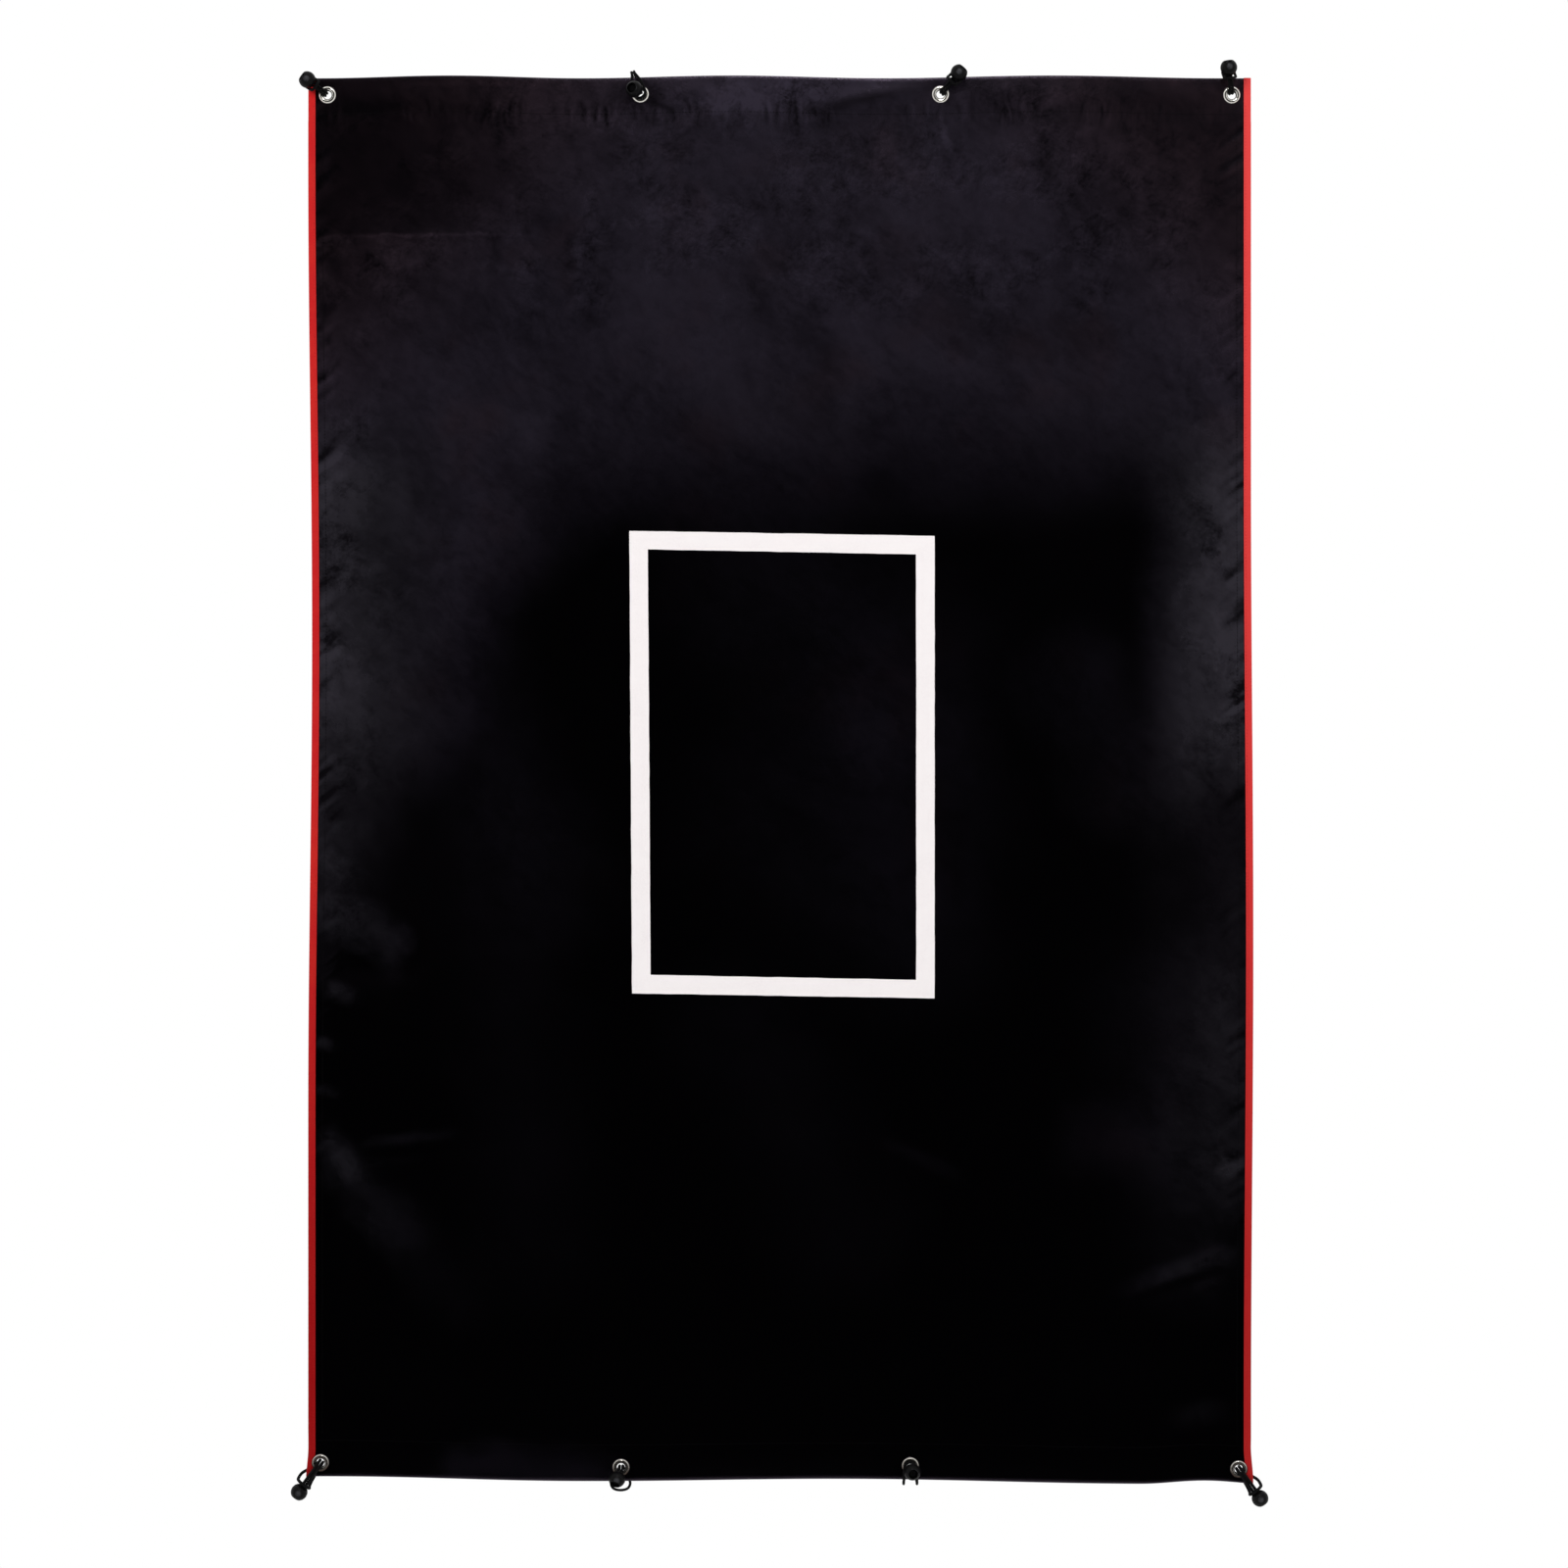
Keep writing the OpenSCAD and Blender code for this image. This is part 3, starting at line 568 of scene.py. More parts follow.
def nickelMaterial():
    # plated brass with worn spots; painted shade makes the low row and the faces that look down dark brown
    look = nickelLook
    material, tree = newMaterial("nickelPlate", Metallic=1.0)
    point = coordinates(tree)
    worn = wornMetal(Vector=point, Scale=420.0)
    # painted shade: darker low on the sheet and on faces that look down
    facingUp = axes(coordinates(tree, "Normal"))[2]
    dullAndShaded = fade(axes(point)[2], -1.7, -0.2) * fade(facingUp, -0.4, 0.7, 0.3)
    colour = blendColour(dullAndShaded, blendColour(worn["Mask"], look["plate"], look["worn"]), look["dullAndShaded"])
    return dress(material, colour, dullAndShaded * 0.15 + worn["Roughness"], worn["Height"], look["depth"])


ballLook = {"low": (0.001, 0.001, 0.0013, 1), "high": (0.003, 0.0028, 0.003, 1), "paintedHighlightGrey": (0.045, 0.045, 0.05, 1),
            "roughness": (0.28, 0.42), "depth": 0.00006}


def ballMaterial():
    # smooth moulded plastic, with a painted highlight: a pale spot where it faces the front
    look = ballLook
    material, tree = newMaterial("ballPlastic", Specular_IOR_Level=0.1)
    point = coordinates(tree)
    patches = cloudyPatches(Vector=point, Scale=90.0)["Mask"]
    facingBack = axes(coordinates(tree, "Normal"))[1]
    paintedHighlight = fade(facingBack, -0.995, -0.9) * fit(cloud(point, 500.0, 3.0), 0.35, 0.6, 0.5, 1.0)
    colour = blendColour(paintedHighlight, blendColour(patches, look["low"], look["high"]), look["paintedHighlightGrey"])
    roughness = fit(patches, 0.0, 1.0, *look["roughness"], "LINEAR")
    return dress(material, colour, roughness, cloud(point, 900.0, 2.0), look["depth"])


cordLook = {"low": (0.001, 0.001, 0.0012, 1), "high": (0.0045, 0.0044, 0.005, 1), "strands": 8.0, "depth": 0.00035}


def cordMaterial():
    look = cordLook
    material, tree = newMaterial("braidedCord", Specular_IOR_Level=0.08, Sheen_Weight=0.01, Sheen_Roughness=0.5)
    braid = braidCover(Vector=clothPoint(tree), Strands=look["strands"])
    patches = cloudyPatches(Vector=coordinates(tree), Scale=120.0)["Mask"]
    colour = blendColour(braid["Mask"] * (patches * 0.6 + 0.4), look["low"], look["high"])
    return dress(material, colour, fit(braid["Mask"], 0.0, 1.0, 0.8, 0.5, "LINEAR"), braid["Height"], look["depth"])


webbingLook = {"low": (0.03, 0.03, 0.033, 1), "high": (0.05, 0.05, 0.055, 1), "perMetre": 420.0, "depth": 0.0003}


def webbingMaterial():
    # plain weave seen only through the ends of the hems
    look = webbingLook
    material, tree = newMaterial("wovenWebbing", Sheen_Weight=0.3, Sheen_Roughness=0.5)
    point = coordinates(tree)
    x, _, z = axes(point)
    wave = lambda v: calc("SINE", v * (look["perMetre"] * 2 * math.pi))
    weave = wave(x) * wave(z)
    colour = blendColour(cloudyPatches(Vector=point, Scale=25.0)["Mask"], look["low"], look["high"])
    return dress(material, colour, fit(weave, -1.0, 1.0, 0.9, 0.7, "LINEAR"), weave, look["depth"])


# The sheet's outline, hems and hang, as the frame's solids have them
sheetCut = {
    "width": 1219.0, "height": 1815.0, "vinyl": 1.0, "hemDepth": 51.0, "plyPitch": 2.4, "hemBack": 2.9,
    "topScallop": 3.6, "topLows": [-0.49, -0.21, 0.11, 0.47],
    "bottomScallop": 4.6, "bottomLows": [-0.7, -0.22, 0.38, 0.52], "bottomFall": 6.0, "scallopRise": 0.6,
    "leftSway": 5.0, "leftSwayAt": 0.4, "rightSway": 3.0, "rightSwayAt": 0.62, "swayHalf": 0.34,
    "cornerFlare": 3.0, "flareFrom": 0.976, "tapeWidth": 9.5, "tape": 0.8, "tapeBuild": 0.9,
}
# The printed frame, in from the sheet's middle and top edge; fall and lean are how far out of square it is
zonePrint = {"width": 393.0, "height": 598.0, "stripe": 24.0, "across": 4.0, "drop": 889.0, "fall": 6.4, "lean": 3.5,
             "step": 7.0, "film": 0.14, "sunk": 0.1, "waver": 0.25, "waverSpacing": 16.0, "seeds": (71, 72)}
# Broad folds: flutes under the top hem and slanting folds as [from, to, half width, height] in shares of the sheet.
# Gaps and runs are where they die out beside the hems, the tapes and the printed frame.
hang = {
    "depth": 7.0, "fluteSpacing": 400.0, "fluteMiddle": -420.0, "fluteShare": 0.5,
    "slanting": [[(-0.52, -0.77), (-0.37, -0.93), 0.1, -0.5], [(-0.47, -0.745), (-0.36, -0.76), 0.08, 0.5],
                 [(0.5, -0.86), (0.34, -0.9), 0.09, -0.45]],
    "hemGap": 20.0, "hemRun": 120.0, "sideGap": 8.0, "sideRun": 60.0,
    "zoneGap": (60.0, 105.0), "zoneRun": (60.0, 100.0),
}
grommetX = [-584.5, -180.0, 208.0, 584.5, -593.5, -205.0, 169.0, 593.5]
grommetInset = {"top": 22.0, "bottom": 18.0}


def scallop(x, lows):
    rise = np.zeros(np.shape(x))
    for a, b in zip(lows, lows[1:]):
        a, b = a * sheetCut["width"], b * sheetCut["width"]
        rise = np.maximum(rise, np.where((x > a) & (x < b), np.sin(math.pi * (x - a) / (b - a)) ** 2, 0.0))
    return rise


def topEdge(x):
    return sheetCut["topScallop"] * (scallop(x, sheetCut["topLows"]) + sheetCut["scallopRise"] - 1)


def bottomEdge(x):
    rise = sheetCut["bottomScallop"] * (scallop(x, sheetCut["bottomLows"]) + sheetCut["scallopRise"] - 1)
    return rise - sheetCut["height"] - sheetCut["bottomFall"] * x / sheetCut["width"]


def sideEdge(z, side):
    drop = -np.asarray(z) / sheetCut["height"]
    flare = sheetCut["cornerFlare"] * ease((drop - sheetCut["flareFrom"]) / (1 - sheetCut["flareFrom"]))
    name = "leftSway" if side < 0 else "rightSway"
    sway = sheetCut[name] * hump(drop - sheetCut[name + "At"], sheetCut["swayHalf"])
    return sway + side * (flare + sheetCut["width"] / 2)


def panelX(share, z):
    build = sheetCut["tapeBuild"]
    return (1 - share) * (sideEdge(z, -1) + build) + share * (sideEdge(z, 1) - build)


def grommetAt(i):
    x = grommetX[i]
    return x, float(topEdge(x) - grommetInset["top"] if i < 4 else bottomEdge(x) + grommetInset["bottom"])


def lineDistance(x, z, ax, az, bx, bz):
    # distance from the segment a-b, and how far along it (0 to 1)
    bx, bz = bx - ax, bz - az
    t = np.clip(((x - ax) * bx + (z - az) * bz) / math.hypot(bx, bz) ** 2, 0, 1)
    return np.hypot(x - ax - t * bx, z - az - t * bz), t


def besideZone(x, z):
    # how far outside the printed frame, across and down
    return (np.abs(x - zonePrint["across"]) - zonePrint["width"] / 2,
            np.abs(z + zonePrint["drop"]) - zonePrint["height"] / 2)


def hangingFolds(x, z):
    w, h, hem, spacing = sheetCut["width"], sheetCut["height"], sheetCut["hemDepth"], hang["fluteSpacing"]
    depth = hang["fluteShare"] * np.cos(2 * math.pi * x / spacing) * hump(z - hang["fluteMiddle"], spacing)
    for (ax, az), (bx, bz), half, height in hang["slanting"]:
        depth = depth + height * hump(lineDistance(x, z, ax * w, az * h, bx * w, bz * h)[0], half * w)
    beside = [(far - gap) / run for far, gap, run in zip(besideZone(x, z), hang["zoneGap"], hang["zoneRun"])]
    room = (ease((-z - hem - hang["hemGap"]) / hang["hemRun"])
            * ease((z + h - hem - hang["hemGap"]) / hang["hemRun"])
            * ease((w / 2 - np.abs(x) - sheetCut["tapeWidth"] - hang["sideGap"]) / hang["sideRun"])
            * ease(np.maximum(*beside)))
    return hang["depth"] * depth * room


# Creases: x and z at the start and the end, half width and height (away from the front)
creases = [
    (-600, -203, -317, -204, 8.0, -0.55), (-600, -214, -330, -213, 9.0, 0.3), (-566, -211, -596, -264, 11.0, -0.7),
    (-178, -27, -118, -52, 9.0, 0.6), (-160, -36, -100, -58, 12.0, -0.4), (210, -56, 226, -108, 9.0, -0.5),
    (238, -60, 252, -120, 12.0, 0.4), (40, -52, 180, -12, 16.0, -0.45), (-470, -60, -420, -150, 22.0, 0.5),
    (430, -52, 520, -130, 26.0, 0.6), (330, -70, 300, -210, 20.0, -0.5), (-60, -110, -20, -260, 22.0, 0.4),
    (110, -130, 150, -300, 24.0, -0.4), (-250, -130, -210, -290, 20.0, 0.35), (-600, -1003, -548, -1028, 16.0, -0.7),
    (-600, -1062, -492, -1120, 24.0, -0.9), (-560, -1150, -480, -1158, 16.0, 0.6),
    (-600, -1172, -548, -1196, 12.0, -0.6), (-600, -1250, -575, -1254, 8.0, -0.7),
    (-600, -1311, -570, -1315, 8.0, -0.7), (-598, -1362, -533, -1446, 18.0, -0.9),
    (-533, -1446, -425, -1562, 30.0, -0.8), (-570, -1440, -480, -1540, 26.0, 0.6),
    (-548, -1384, -430, -1369, 9.0, -0.9), (-548, -1396, -430, -1382, 10.0, 0.8),
    (600, -1398, 566, -1418, 12.0, -1.1), (604, -1515, 436, -1568, 12.0, -1.2), (600, -1530, 446, -1584, 14.0, 1.0),
    (132, -1377, 196, -1394, 14.0, -0.7), (196, -1394, 240, -1428, 12.0, -0.6), (500, -1716, 590, -1742, 16.0, -0.5),
]
# Ripples over the whole sheet as (spacing, height, how drawn out, turn). They and the creases die out towards the
# edges, and every pair is where something starts and how far it takes to be full.
ripples = {
    "sizes": [(330.0, 1.5, 1.3, 70), (120.0, 0.5, 1.6, 55), (48.0, 0.16, 1.8, -35)], "seed": 6037,
    "hemRun": 70.0, "side": (17.0, 16.0), "quietRun": 70.0, "quiet": 0.3,
    "smooth": 0.25, "workedTop": (520, 260), "workedSide": (230, 140),
    "creaseSpread": 1.6, "creaseEnds": 0.35, "creaseSide": (9.5, 8.0), "creaseHem": (4.0, 10.0),
    "hemEnd": (2.0, 6.0), "pillow": 0.75, "pillowAt": (24.0, 25.0), "grommetFlat": (13.0, 16.0), "grommetReach": 70.0,
}


def ramp(distance, pair):
    return ease((distance - pair[0]) / pair[1])


def workedShare(x, z):
    # 1 where the vinyl is crinkled from handling, less in its smooth middle
    (top, topRun), (side, sideRun) = ripples["workedTop"], ripples["workedSide"]
    fromSide = sheetCut["width"] / 2 - np.abs(x)
    most = np.maximum(ease((z + top) / topRun), ease((side - fromSide) / sideRun))
    return ripples["smooth"] + (1 - ripples["smooth"]) * most


def flatNearGrommets(x, z):
    room = np.ones(np.shape(x))
    for i in range(len(places)):
        gx, gz = grommetAt(i)
        room = room * ramp(np.hypot(x - gx, z - gz), ripples["grommetFlat"])
    return room


def reliefAt(x, z):
    # how far back the vinyl's middle lies at each place of its front
    x, z = np.asarray(x, float), np.asarray(z, float)
    base, hem, seed = hangingFolds(x, z), sheetCut["hemDepth"], ripples["seed"]
    inward = np.minimum(topEdge(x) - z, z - bottomEdge(x))
    side = np.minimum(x - sideEdge(z, -1), sideEdge(z, 1) - x)
    quiet = ripples["quiet"] + (1 - ripples["quiet"]) * ease(np.maximum(*besideZone(x, z)) / ripples["quietRun"])
    extra = 0.0
    for k, (spacing, height, stretch, turn) in enumerate(ripples["sizes"]):
        share = workedShare(x, z) if k else 1.0
        extra = extra + height * softNoise(x, z, spacing, seed + k, stretch, turn) * share * quiet
    marks, ends = np.zeros(x.shape), ripples["creaseEnds"]
    for *line, half, height in creases:
        distance, t = lineDistance(x, z, *line)
        along = ends + (1 - ends) * np.sin(math.pi * np.clip(t, 0.04, 0.96))
        marks = marks + height * hump(distance, half * ripples["creaseSpread"]) * along
    inField = ramp(inward, (hem, ripples["hemRun"])) * ramp(side, ripples["side"])
    markRoom = ramp(side, ripples["creaseSide"]) * ramp(inward, ripples["creaseHem"])
    field = base + extra * inField + marks * markRoom
    # in a hem the ply lies on the webbing, so it can only rise to the front, as a soft pillow above the stitching
    inHem = ease((hem + ripples["hemEnd"][0] - inward) / ripples["hemEnd"][1])
    middle, half = ripples["pillowAt"]
    pillow = hump(inward - middle, half) * (0.55 + 0.35 * softNoise(x, z, 70.0, seed + 5))
    field = field * (1 - inHem) + np.minimum(field, 0.0) * inHem - ripples["pillow"] * pillow * inHem
    return field * np.where(inward < ripples["grommetReach"], flatNearGrommets(x, z), 1.0)


def spaced(stops):
    # positions from (start, step) stops up to the last stop's start
    out = []
    for (a, step), (b, _) in zip(stops, stops[1:]):
        out += list(np.linspace(a, b, max(int(round((b - a) / step)), 1), endpoint=False))
    return np.array(out + [stops[-1][0]])


def vinylPanel(material):
    width, height, depth = sheetCut["width"], sheetCut["height"], sheetCut["hemDepth"]
    half, radius = sheetCut["vinyl"] / 2, sheetCut["plyPitch"] / 2
    start = half + radius
    across = spaced([(0, 4.5), (54, 8.5), (width - 54, 4.5), (width, 0)]) / width
    down = spaced([(start, 4.5), (240, 8.5), (height - 130, 5.0), (height - start, 0)])
    flap = spaced([(start, 6.0), (depth, 0)])
    turns = np.linspace(0, math.pi, 9)
    # each station is (depth, distance in from the edge, direction outwards), from the flap's cut end round the fold
    hem = [(2 * radius, d, (1, 0)) for d in flap[:0:-1]]
    hem += [(radius * (1 + math.cos(t)), half + radius * (1 - math.sin(t)), (math.cos(t), -math.sin(t))) for t in turns]
    nominal = (across - 0.5) * width
    top, bottom = topEdge(nominal), bottomEdge(nominal)
    faces, uv = [], []

    def hemRow(edge, inward, station, face):
        y, inset, way = station
        z = edge + inward * (inset + face * way[1] * half)
        return np.stack([panelX(across, z), np.full_like(z, y + face * way[0] * half), z], 1)

    def fieldRow(d, face):
        z = top - d * (top - bottom) / height
        x = panelX(across, z)
        return np.stack([x, reliefAt(x, z) - face * half, z], 1)

    # down the cloth from its top fold, which the hems' plies pass
    insets = [inset for _, inset, _ in hem[:len(flap) - 1]]
    flat = [-inset for inset in insets] + [0.0] * len(turns) + list(down[1:-1])
    flat = np.array(flat + [height] * len(turns) + [height + inset for inset in insets[::-1]])
    for face in (1, -1):
        rows = [hemRow(top, -1, station, face) for station in hem] + [fieldRow(d, face) for d in down[1:-1]]
        faces.append(np.stack(rows + [hemRow(bottom, 1, station, face) for station in hem[::-1]]))
        uv.append(np.stack(np.broadcast_arrays(across[None, :] * width, flat[:, None]), 2))
    points = np.concatenate(faces).reshape(-1, 3)
    uv = np.concatenate(uv).reshape(-1, 2) * mm
    quads = wallFaces(*faces[0].shape[:2])
    panel = makePiece("vinyl", points, quads, material, "sheet", ["vinyl_panel"], uv=uv)
    cutHoles(panel)
    return panel


def cutHoles(panel):
    # both plies at every grommet
    sides, radius, reach = 48, grommet["hole"], 8.0
    quads, first, last = tubeFaces(2, sides)
    points, faces = [], []
    for i in range(len(places)):
        gx, gz = grommetAt(i)
        faces += [[len(points) + corner for corner in face[::-1]] for face in [*quads, first, last]]
        for y in (-reach, reach):
            points += [(gx + radius * math.cos(t), y, gz + radius * math.sin(t)) for t in circle(sides)]
    mesh = bpy.data.meshes.new("punch")
    mesh.from_pydata((np.array(points) * mm).tolist(), [], faces)
    punch = addObject("punch", mesh)
    cut = panel.modifiers.new("holes", "BOOLEAN")
    cut.operation, cut.solver, cut.object = "DIFFERENCE", "EXACT", punch
    bpy.context.view_layer.update()
    made = bpy.data.meshes.new_from_object(panel.evaluated_get(bpy.context.evaluated_depsgraph_get()))
    panel.modifiers.clear()
    old, panel.data = panel.data, made
    made.name = "vinyl"
    bpy.data.meshes.remove(old)
    bpy.data.objects.remove(punch)
    bpy.data.meshes.remove(mesh)


def printedFrame(material):
    w, h, fall, lean = (zonePrint[k] / 2 for k in ("width", "height", "fall", "lean"))
    outer = [(-w - lean, h + fall), (w, h - fall), (w, -h - fall), (-w + lean, -h + fall)]
    inward = [(1, -1), (-1, -1), (-1, 1), (1, 1)]
    outer, inward = np.array(outer), np.array(inward)
    inner = outer + zonePrint["stripe"] * inward
    middle = np.array([zonePrint["across"], -zonePrint["drop"]])
    ring = []
    for k in range(4):
        a, b, c, d = outer[k], outer[(k + 1) % 4], inner[k], inner[(k + 1) % 4]
        steps = int(np.linalg.norm(b - a) / zonePrint["step"])
        for t in np.linspace(0, 1, steps, endpoint=False):
            ring.append([a + (b - a) * t, c + (d - c) * t])
    ring.append(ring[0])
    grid = np.array([[middle + p * (1 - share) + q * share for p, q in ring] for share in np.linspace(0, 1, 5)])
    x, z = grid[..., 0], grid[..., 1]
    edge = np.array([1, 0.2, 0, 0.2, 1])[:, None] * zonePrint["waver"]
    x = x + edge * softNoise(x, z, zonePrint["waverSpacing"], zonePrint["seeds"][0])
    z = z + edge * softNoise(x, z, zonePrint["waverSpacing"], zonePrint["seeds"][1])
    y = reliefAt(x, z) - sheetCut["vinyl"] / 2
    depths = (-zonePrint["film"], zonePrint["sunk"])
    points = np.concatenate([np.stack([x, y + d, z], 2).reshape(-1, 3) for d in depths])
    uv = np.stack([points[:, 0] + sheetCut["width"] / 2, -points[:, 2]], 1) * mm
    stands = ["strike_zone_frame"]
    return makePiece("zonePrint", points, wallFaces(*x.shape), material, "sheet", stands, uv=uv)


# The side bindings: a folded tape a little puffed over the seam, with slight waves as (height, spacing) along it
binding = {"puff": 0.35, "bend": 1.6, "step": 5.0, "flangeGap": 0.3, "hemSteps": 27, "pastHem": 8.0,
           "proud": 0.1, "swell": 0.6, "wave": (0.12, 23.0), "lumps": (0.1, 11.0), "seed": 40, "edgeFlat": 1.2}


def endGrommets(side):
    # the two grommets beside one side's tape
    return (0, 4) if side < 0 else (3, 7)


def tapeRing(z, side, back):
    # one closed ring of the tape's section: its skin from the front leg round the edge to the back leg, then its inside
    edge, bend = float(sideEdge(z, side)), binding["bend"]
    tape, build = sheetCut["tape"], sheetCut["tapeBuild"]
    widths = [sheetCut["tapeWidth"]] * 2
    for i in endGrommets(side):
        gx, gz = grommetAt(i)
        for k, rim in enumerate(("flange", "washer")):
            radius = grommet[rim] + binding["flangeGap"]
            if abs(z - gz) < radius:
                widths[k] = min(widths[k], abs(edge - gx) - math.sqrt(radius ** 2 - (z - gz) ** 2))
    frontWidth, backWidth = widths
    front = -sheetCut["vinyl"] / 2 - build
    rear = back + build
    middle, half = (front + rear) / 2, (rear - front) / 2
    skin, lining = [], []
    for t in np.linspace(0, 1, 7)[:-1]:
        d = frontWidth + (bend - frontWidth) * t
        skin.append((d, front - binding["puff"] * math.sin(math.pi * min(t * 1.1, 1)) ** 2))
        lining.append((max(d, tape + 0.1), front + tape))
    for a in np.linspace(-90, 90, 9):
        c, s = math.cos(math.radians(a)), math.sin(math.radians(a))
        skin.append((bend * (1 - c), middle + half * s))
        lining.append((tape + (bend - tape) * (1 - c), middle + (half - tape) * s))
    for t in np.linspace(0, 1, 5)[1:]:
        d = bend + (backWidth - bend) * t
        skin.append((d, rear + 0.5 * binding["puff"] * math.sin(math.pi * t) ** 2))
        lining.append((max(d, tape + 0.1), rear - tape))
    return [[(edge - side * d, y, z) for d, y in line] for line in (skin, lining)]


def bindingTape(side, material):
    edge, depth = side * sheetCut["width"] / 2, sheetCut["hemDepth"]
    top, bottom = float(topEdge(edge)), float(bottomEdge(edge))
    low, high = top - depth - binding["pastHem"], bottom + depth + binding["pastHem"]
    # over the hems the tape is wrapped round a thicker edge
    stations = [(top - d, sheetCut["hemBack"]) for d in np.linspace(0, depth + 1, binding["hemSteps"])]
    stations += [(z, sheetCut["vinyl"] / 2) for z in np.linspace(low, high, int((low - high) / binding["step"]))]
    stations += [(bottom + d, sheetCut["hemBack"]) for d in np.linspace(depth + 1, 0, binding["hemSteps"])]
    outer, inner = (np.array(rings) for rings in zip(*(tapeRing(z, side, back) for z, back in stations)))
    (wave, length), (lump, spacing), z = binding["wave"], binding["lumps"], outer[..., 2]
    swell = wave * np.sin(z / length) + lump * softNoise(z, z * 0, spacing, binding["seed"] + side)
    offEdge = np.abs(outer[..., 0] - edge) > binding["edgeFlat"]
    outer[..., 1] += np.where(outer[..., 1] < 0, -1, 1) * (binding["proud"] + swell * binding["swell"]) * offEdge
    points = np.concatenate([outer.reshape(-1, 3), inner.reshape(-1, 3)])
    name, quads = "left" if side < 0 else "right", wallFaces(*outer.shape[:2])
    return makePiece(name + "Tape", points, quads, material, "sheet", [name + "_binding"])


# Stitching: short rounded threads that dip into the cloth at each end
stitch = {"radius": 0.34, "length": 3.1, "pitch": 4.2, "tapeInset": 7.3, "fieldInset": 18.5, "hemLine": 47.0,
          "ends": 3.0, "rimGap": 12.5, "proud": 0.1, "jitter": 0.1, "hemInset": 14.0, "hemOver": 4.0, "fieldFrom": 3.0,
          # each ring's place along the stitch, its girth and how far it stands out of the cloth
          "rings": [(-1.0, 0.35, -0.9), (-0.5, 0.9, 0.25), (0.0, 1.0, 0.55), (0.5, 0.9, 0.25), (1.0, 0.35, -0.9)]}


def threadRow(centres, ways, ups):
    # one capsule per stitch, arched out of the cloth along ups
    sides, across, body = 6, np.cross(ways, ups), []
    for along, girth, rise in stitch["rings"]:
        middle = centres + ways * (along * stitch["length"] / 2) + ups * (rise * stitch["radius"])
        for t in circle(sides):
            body.append(middle + stitch["radius"] * girth * (math.cos(t) * ups + math.sin(t) * across))
    points = np.stack(body, 1)
    quads, *ends = tubeFaces(len(stitch["rings"]), sides)
    faces = np.array(quads + [c[:4] for c in ends] + [[c[0], *c[3:]] for c in ends])
    offsets = np.arange(len(centres))[:, None, None] * points.shape[1]
    return points.reshape(-1, 3), (faces[None] + offsets).reshape(-1, 4)


def seamRow(x, y, z, up):
    # stitches along a line of points, lying on the surface
    path = np.stack([x, y, z], 1)
    ways = unitRows(np.gradient(path, axis=0))
    ups = np.tile(np.array([0.0, up, 0.0]), (len(path), 1))
    ups = unitRows(ups - ways * (ups * ways).sum(1, keepdims=True))
    jitter = np.random.RandomState(len(path)).uniform(-stitch["jitter"], stitch["jitter"], (len(path), 1))
    return threadRow(path + ways * jitter, ways, ups)


def tapeSeam(side):
    # the tape's own row, front and back, in two halves that stop short of the grommets, and the row beside it
    half, proud = sheetCut["vinyl"] / 2, sheetCut["tapeBuild"] + stitch["proud"]
    x, hemmed = side * sheetCut["width"] / 2, sheetCut["hemDepth"]
    top, bottom = float(topEdge(x)), float(bottomEdge(x))
    z = np.arange(top - stitch["ends"], bottom + stitch["ends"], -stitch["pitch"])
    clear = np.ones(len(z), bool)
    for i in endGrommets(side):
        clear &= np.abs(z - grommetAt(i)[1]) > stitch["rimGap"]
    inHem = np.minimum(top - z, z - bottom) < hemmed + stitch["hemOver"]
    back = np.where(inHem, sheetCut["hemBack"], half)
    xs, onTape, onVinyl = sideEdge(z, side) - side * stitch["tapeInset"], [], []
    for part in (z > (top + bottom) / 2, z <= (top + bottom) / 2):
        keep = clear & part
        for y, up in ((np.full_like(z, -half - proud), -1.0), (back + proud, 1.0)):
            onTape.append(seamRow(xs[keep], y[keep], z[keep], up))
    field = np.minimum(top - z, z - bottom) > hemmed + stitch["fieldFrom"]
    xs, z = (sideEdge(z, side) - side * stitch["fieldInset"])[field], z[field]
    for face in (-1, 1):
        onVinyl.append(seamRow(xs, reliefAt(xs, z) + face * half, z, face))
    return onTape, onVinyl


def hemSeam(edge, inward):
    reach = sheetCut["width"] / 2 - stitch["hemInset"]
    x = np.arange(-reach, reach, stitch["pitch"])
    z = edge(x) + inward * stitch["hemLine"]
    front, back = reliefAt(x, z) - sheetCut["vinyl"] / 2, np.full_like(x, sheetCut["hemBack"])
    return [seamRow(x, front, z, -1.0), seamRow(x, back, z, 1.0)]


def stitching(black, red):
    sides = [tapeSeam(side) for side in (-1, 1)]
    onTape = [row for rows, _ in sides for row in rows]
    onVinyl = [row for _, rows in sides for row in rows] + hemSeam(topEdge, -1) + hemSeam(bottomEdge, 1)

    def together(name, rows, material):
        starts = np.cumsum([0] + [len(points) for points, _ in rows])
        points = np.concatenate([points for points, _ in rows])
        faces = np.concatenate([faces + first for (_, faces), first in zip(rows, starts)])
        return makePiece(name, points, faces, material, "sheet", sharpAngle=80)

    return [together("tapeStitches", onTape, red), together("vinylStitches", onVinyl, black)]


# Turned pieces

def lathe(section, sides):
    # a closed section of (radius, height) points turned about the local third axis
    section = np.array(section)
    ring = circle(sides)
    points = np.stack([np.outer(np.cos(ring), section[:, 0]), np.outer(np.sin(ring), section[:, 0]),
                       np.tile(section[:, 1], (sides, 1))], 2).reshape(-1, 3)
    at = np.arange(sides * len(section)).reshape(sides, -1)
    corners = [at, np.roll(at, -1, 1), np.roll(at, (-1, -1), (0, 1)), np.roll(at, -1, 0)]
    return points, np.stack(corners, 2).reshape(-1, 4)


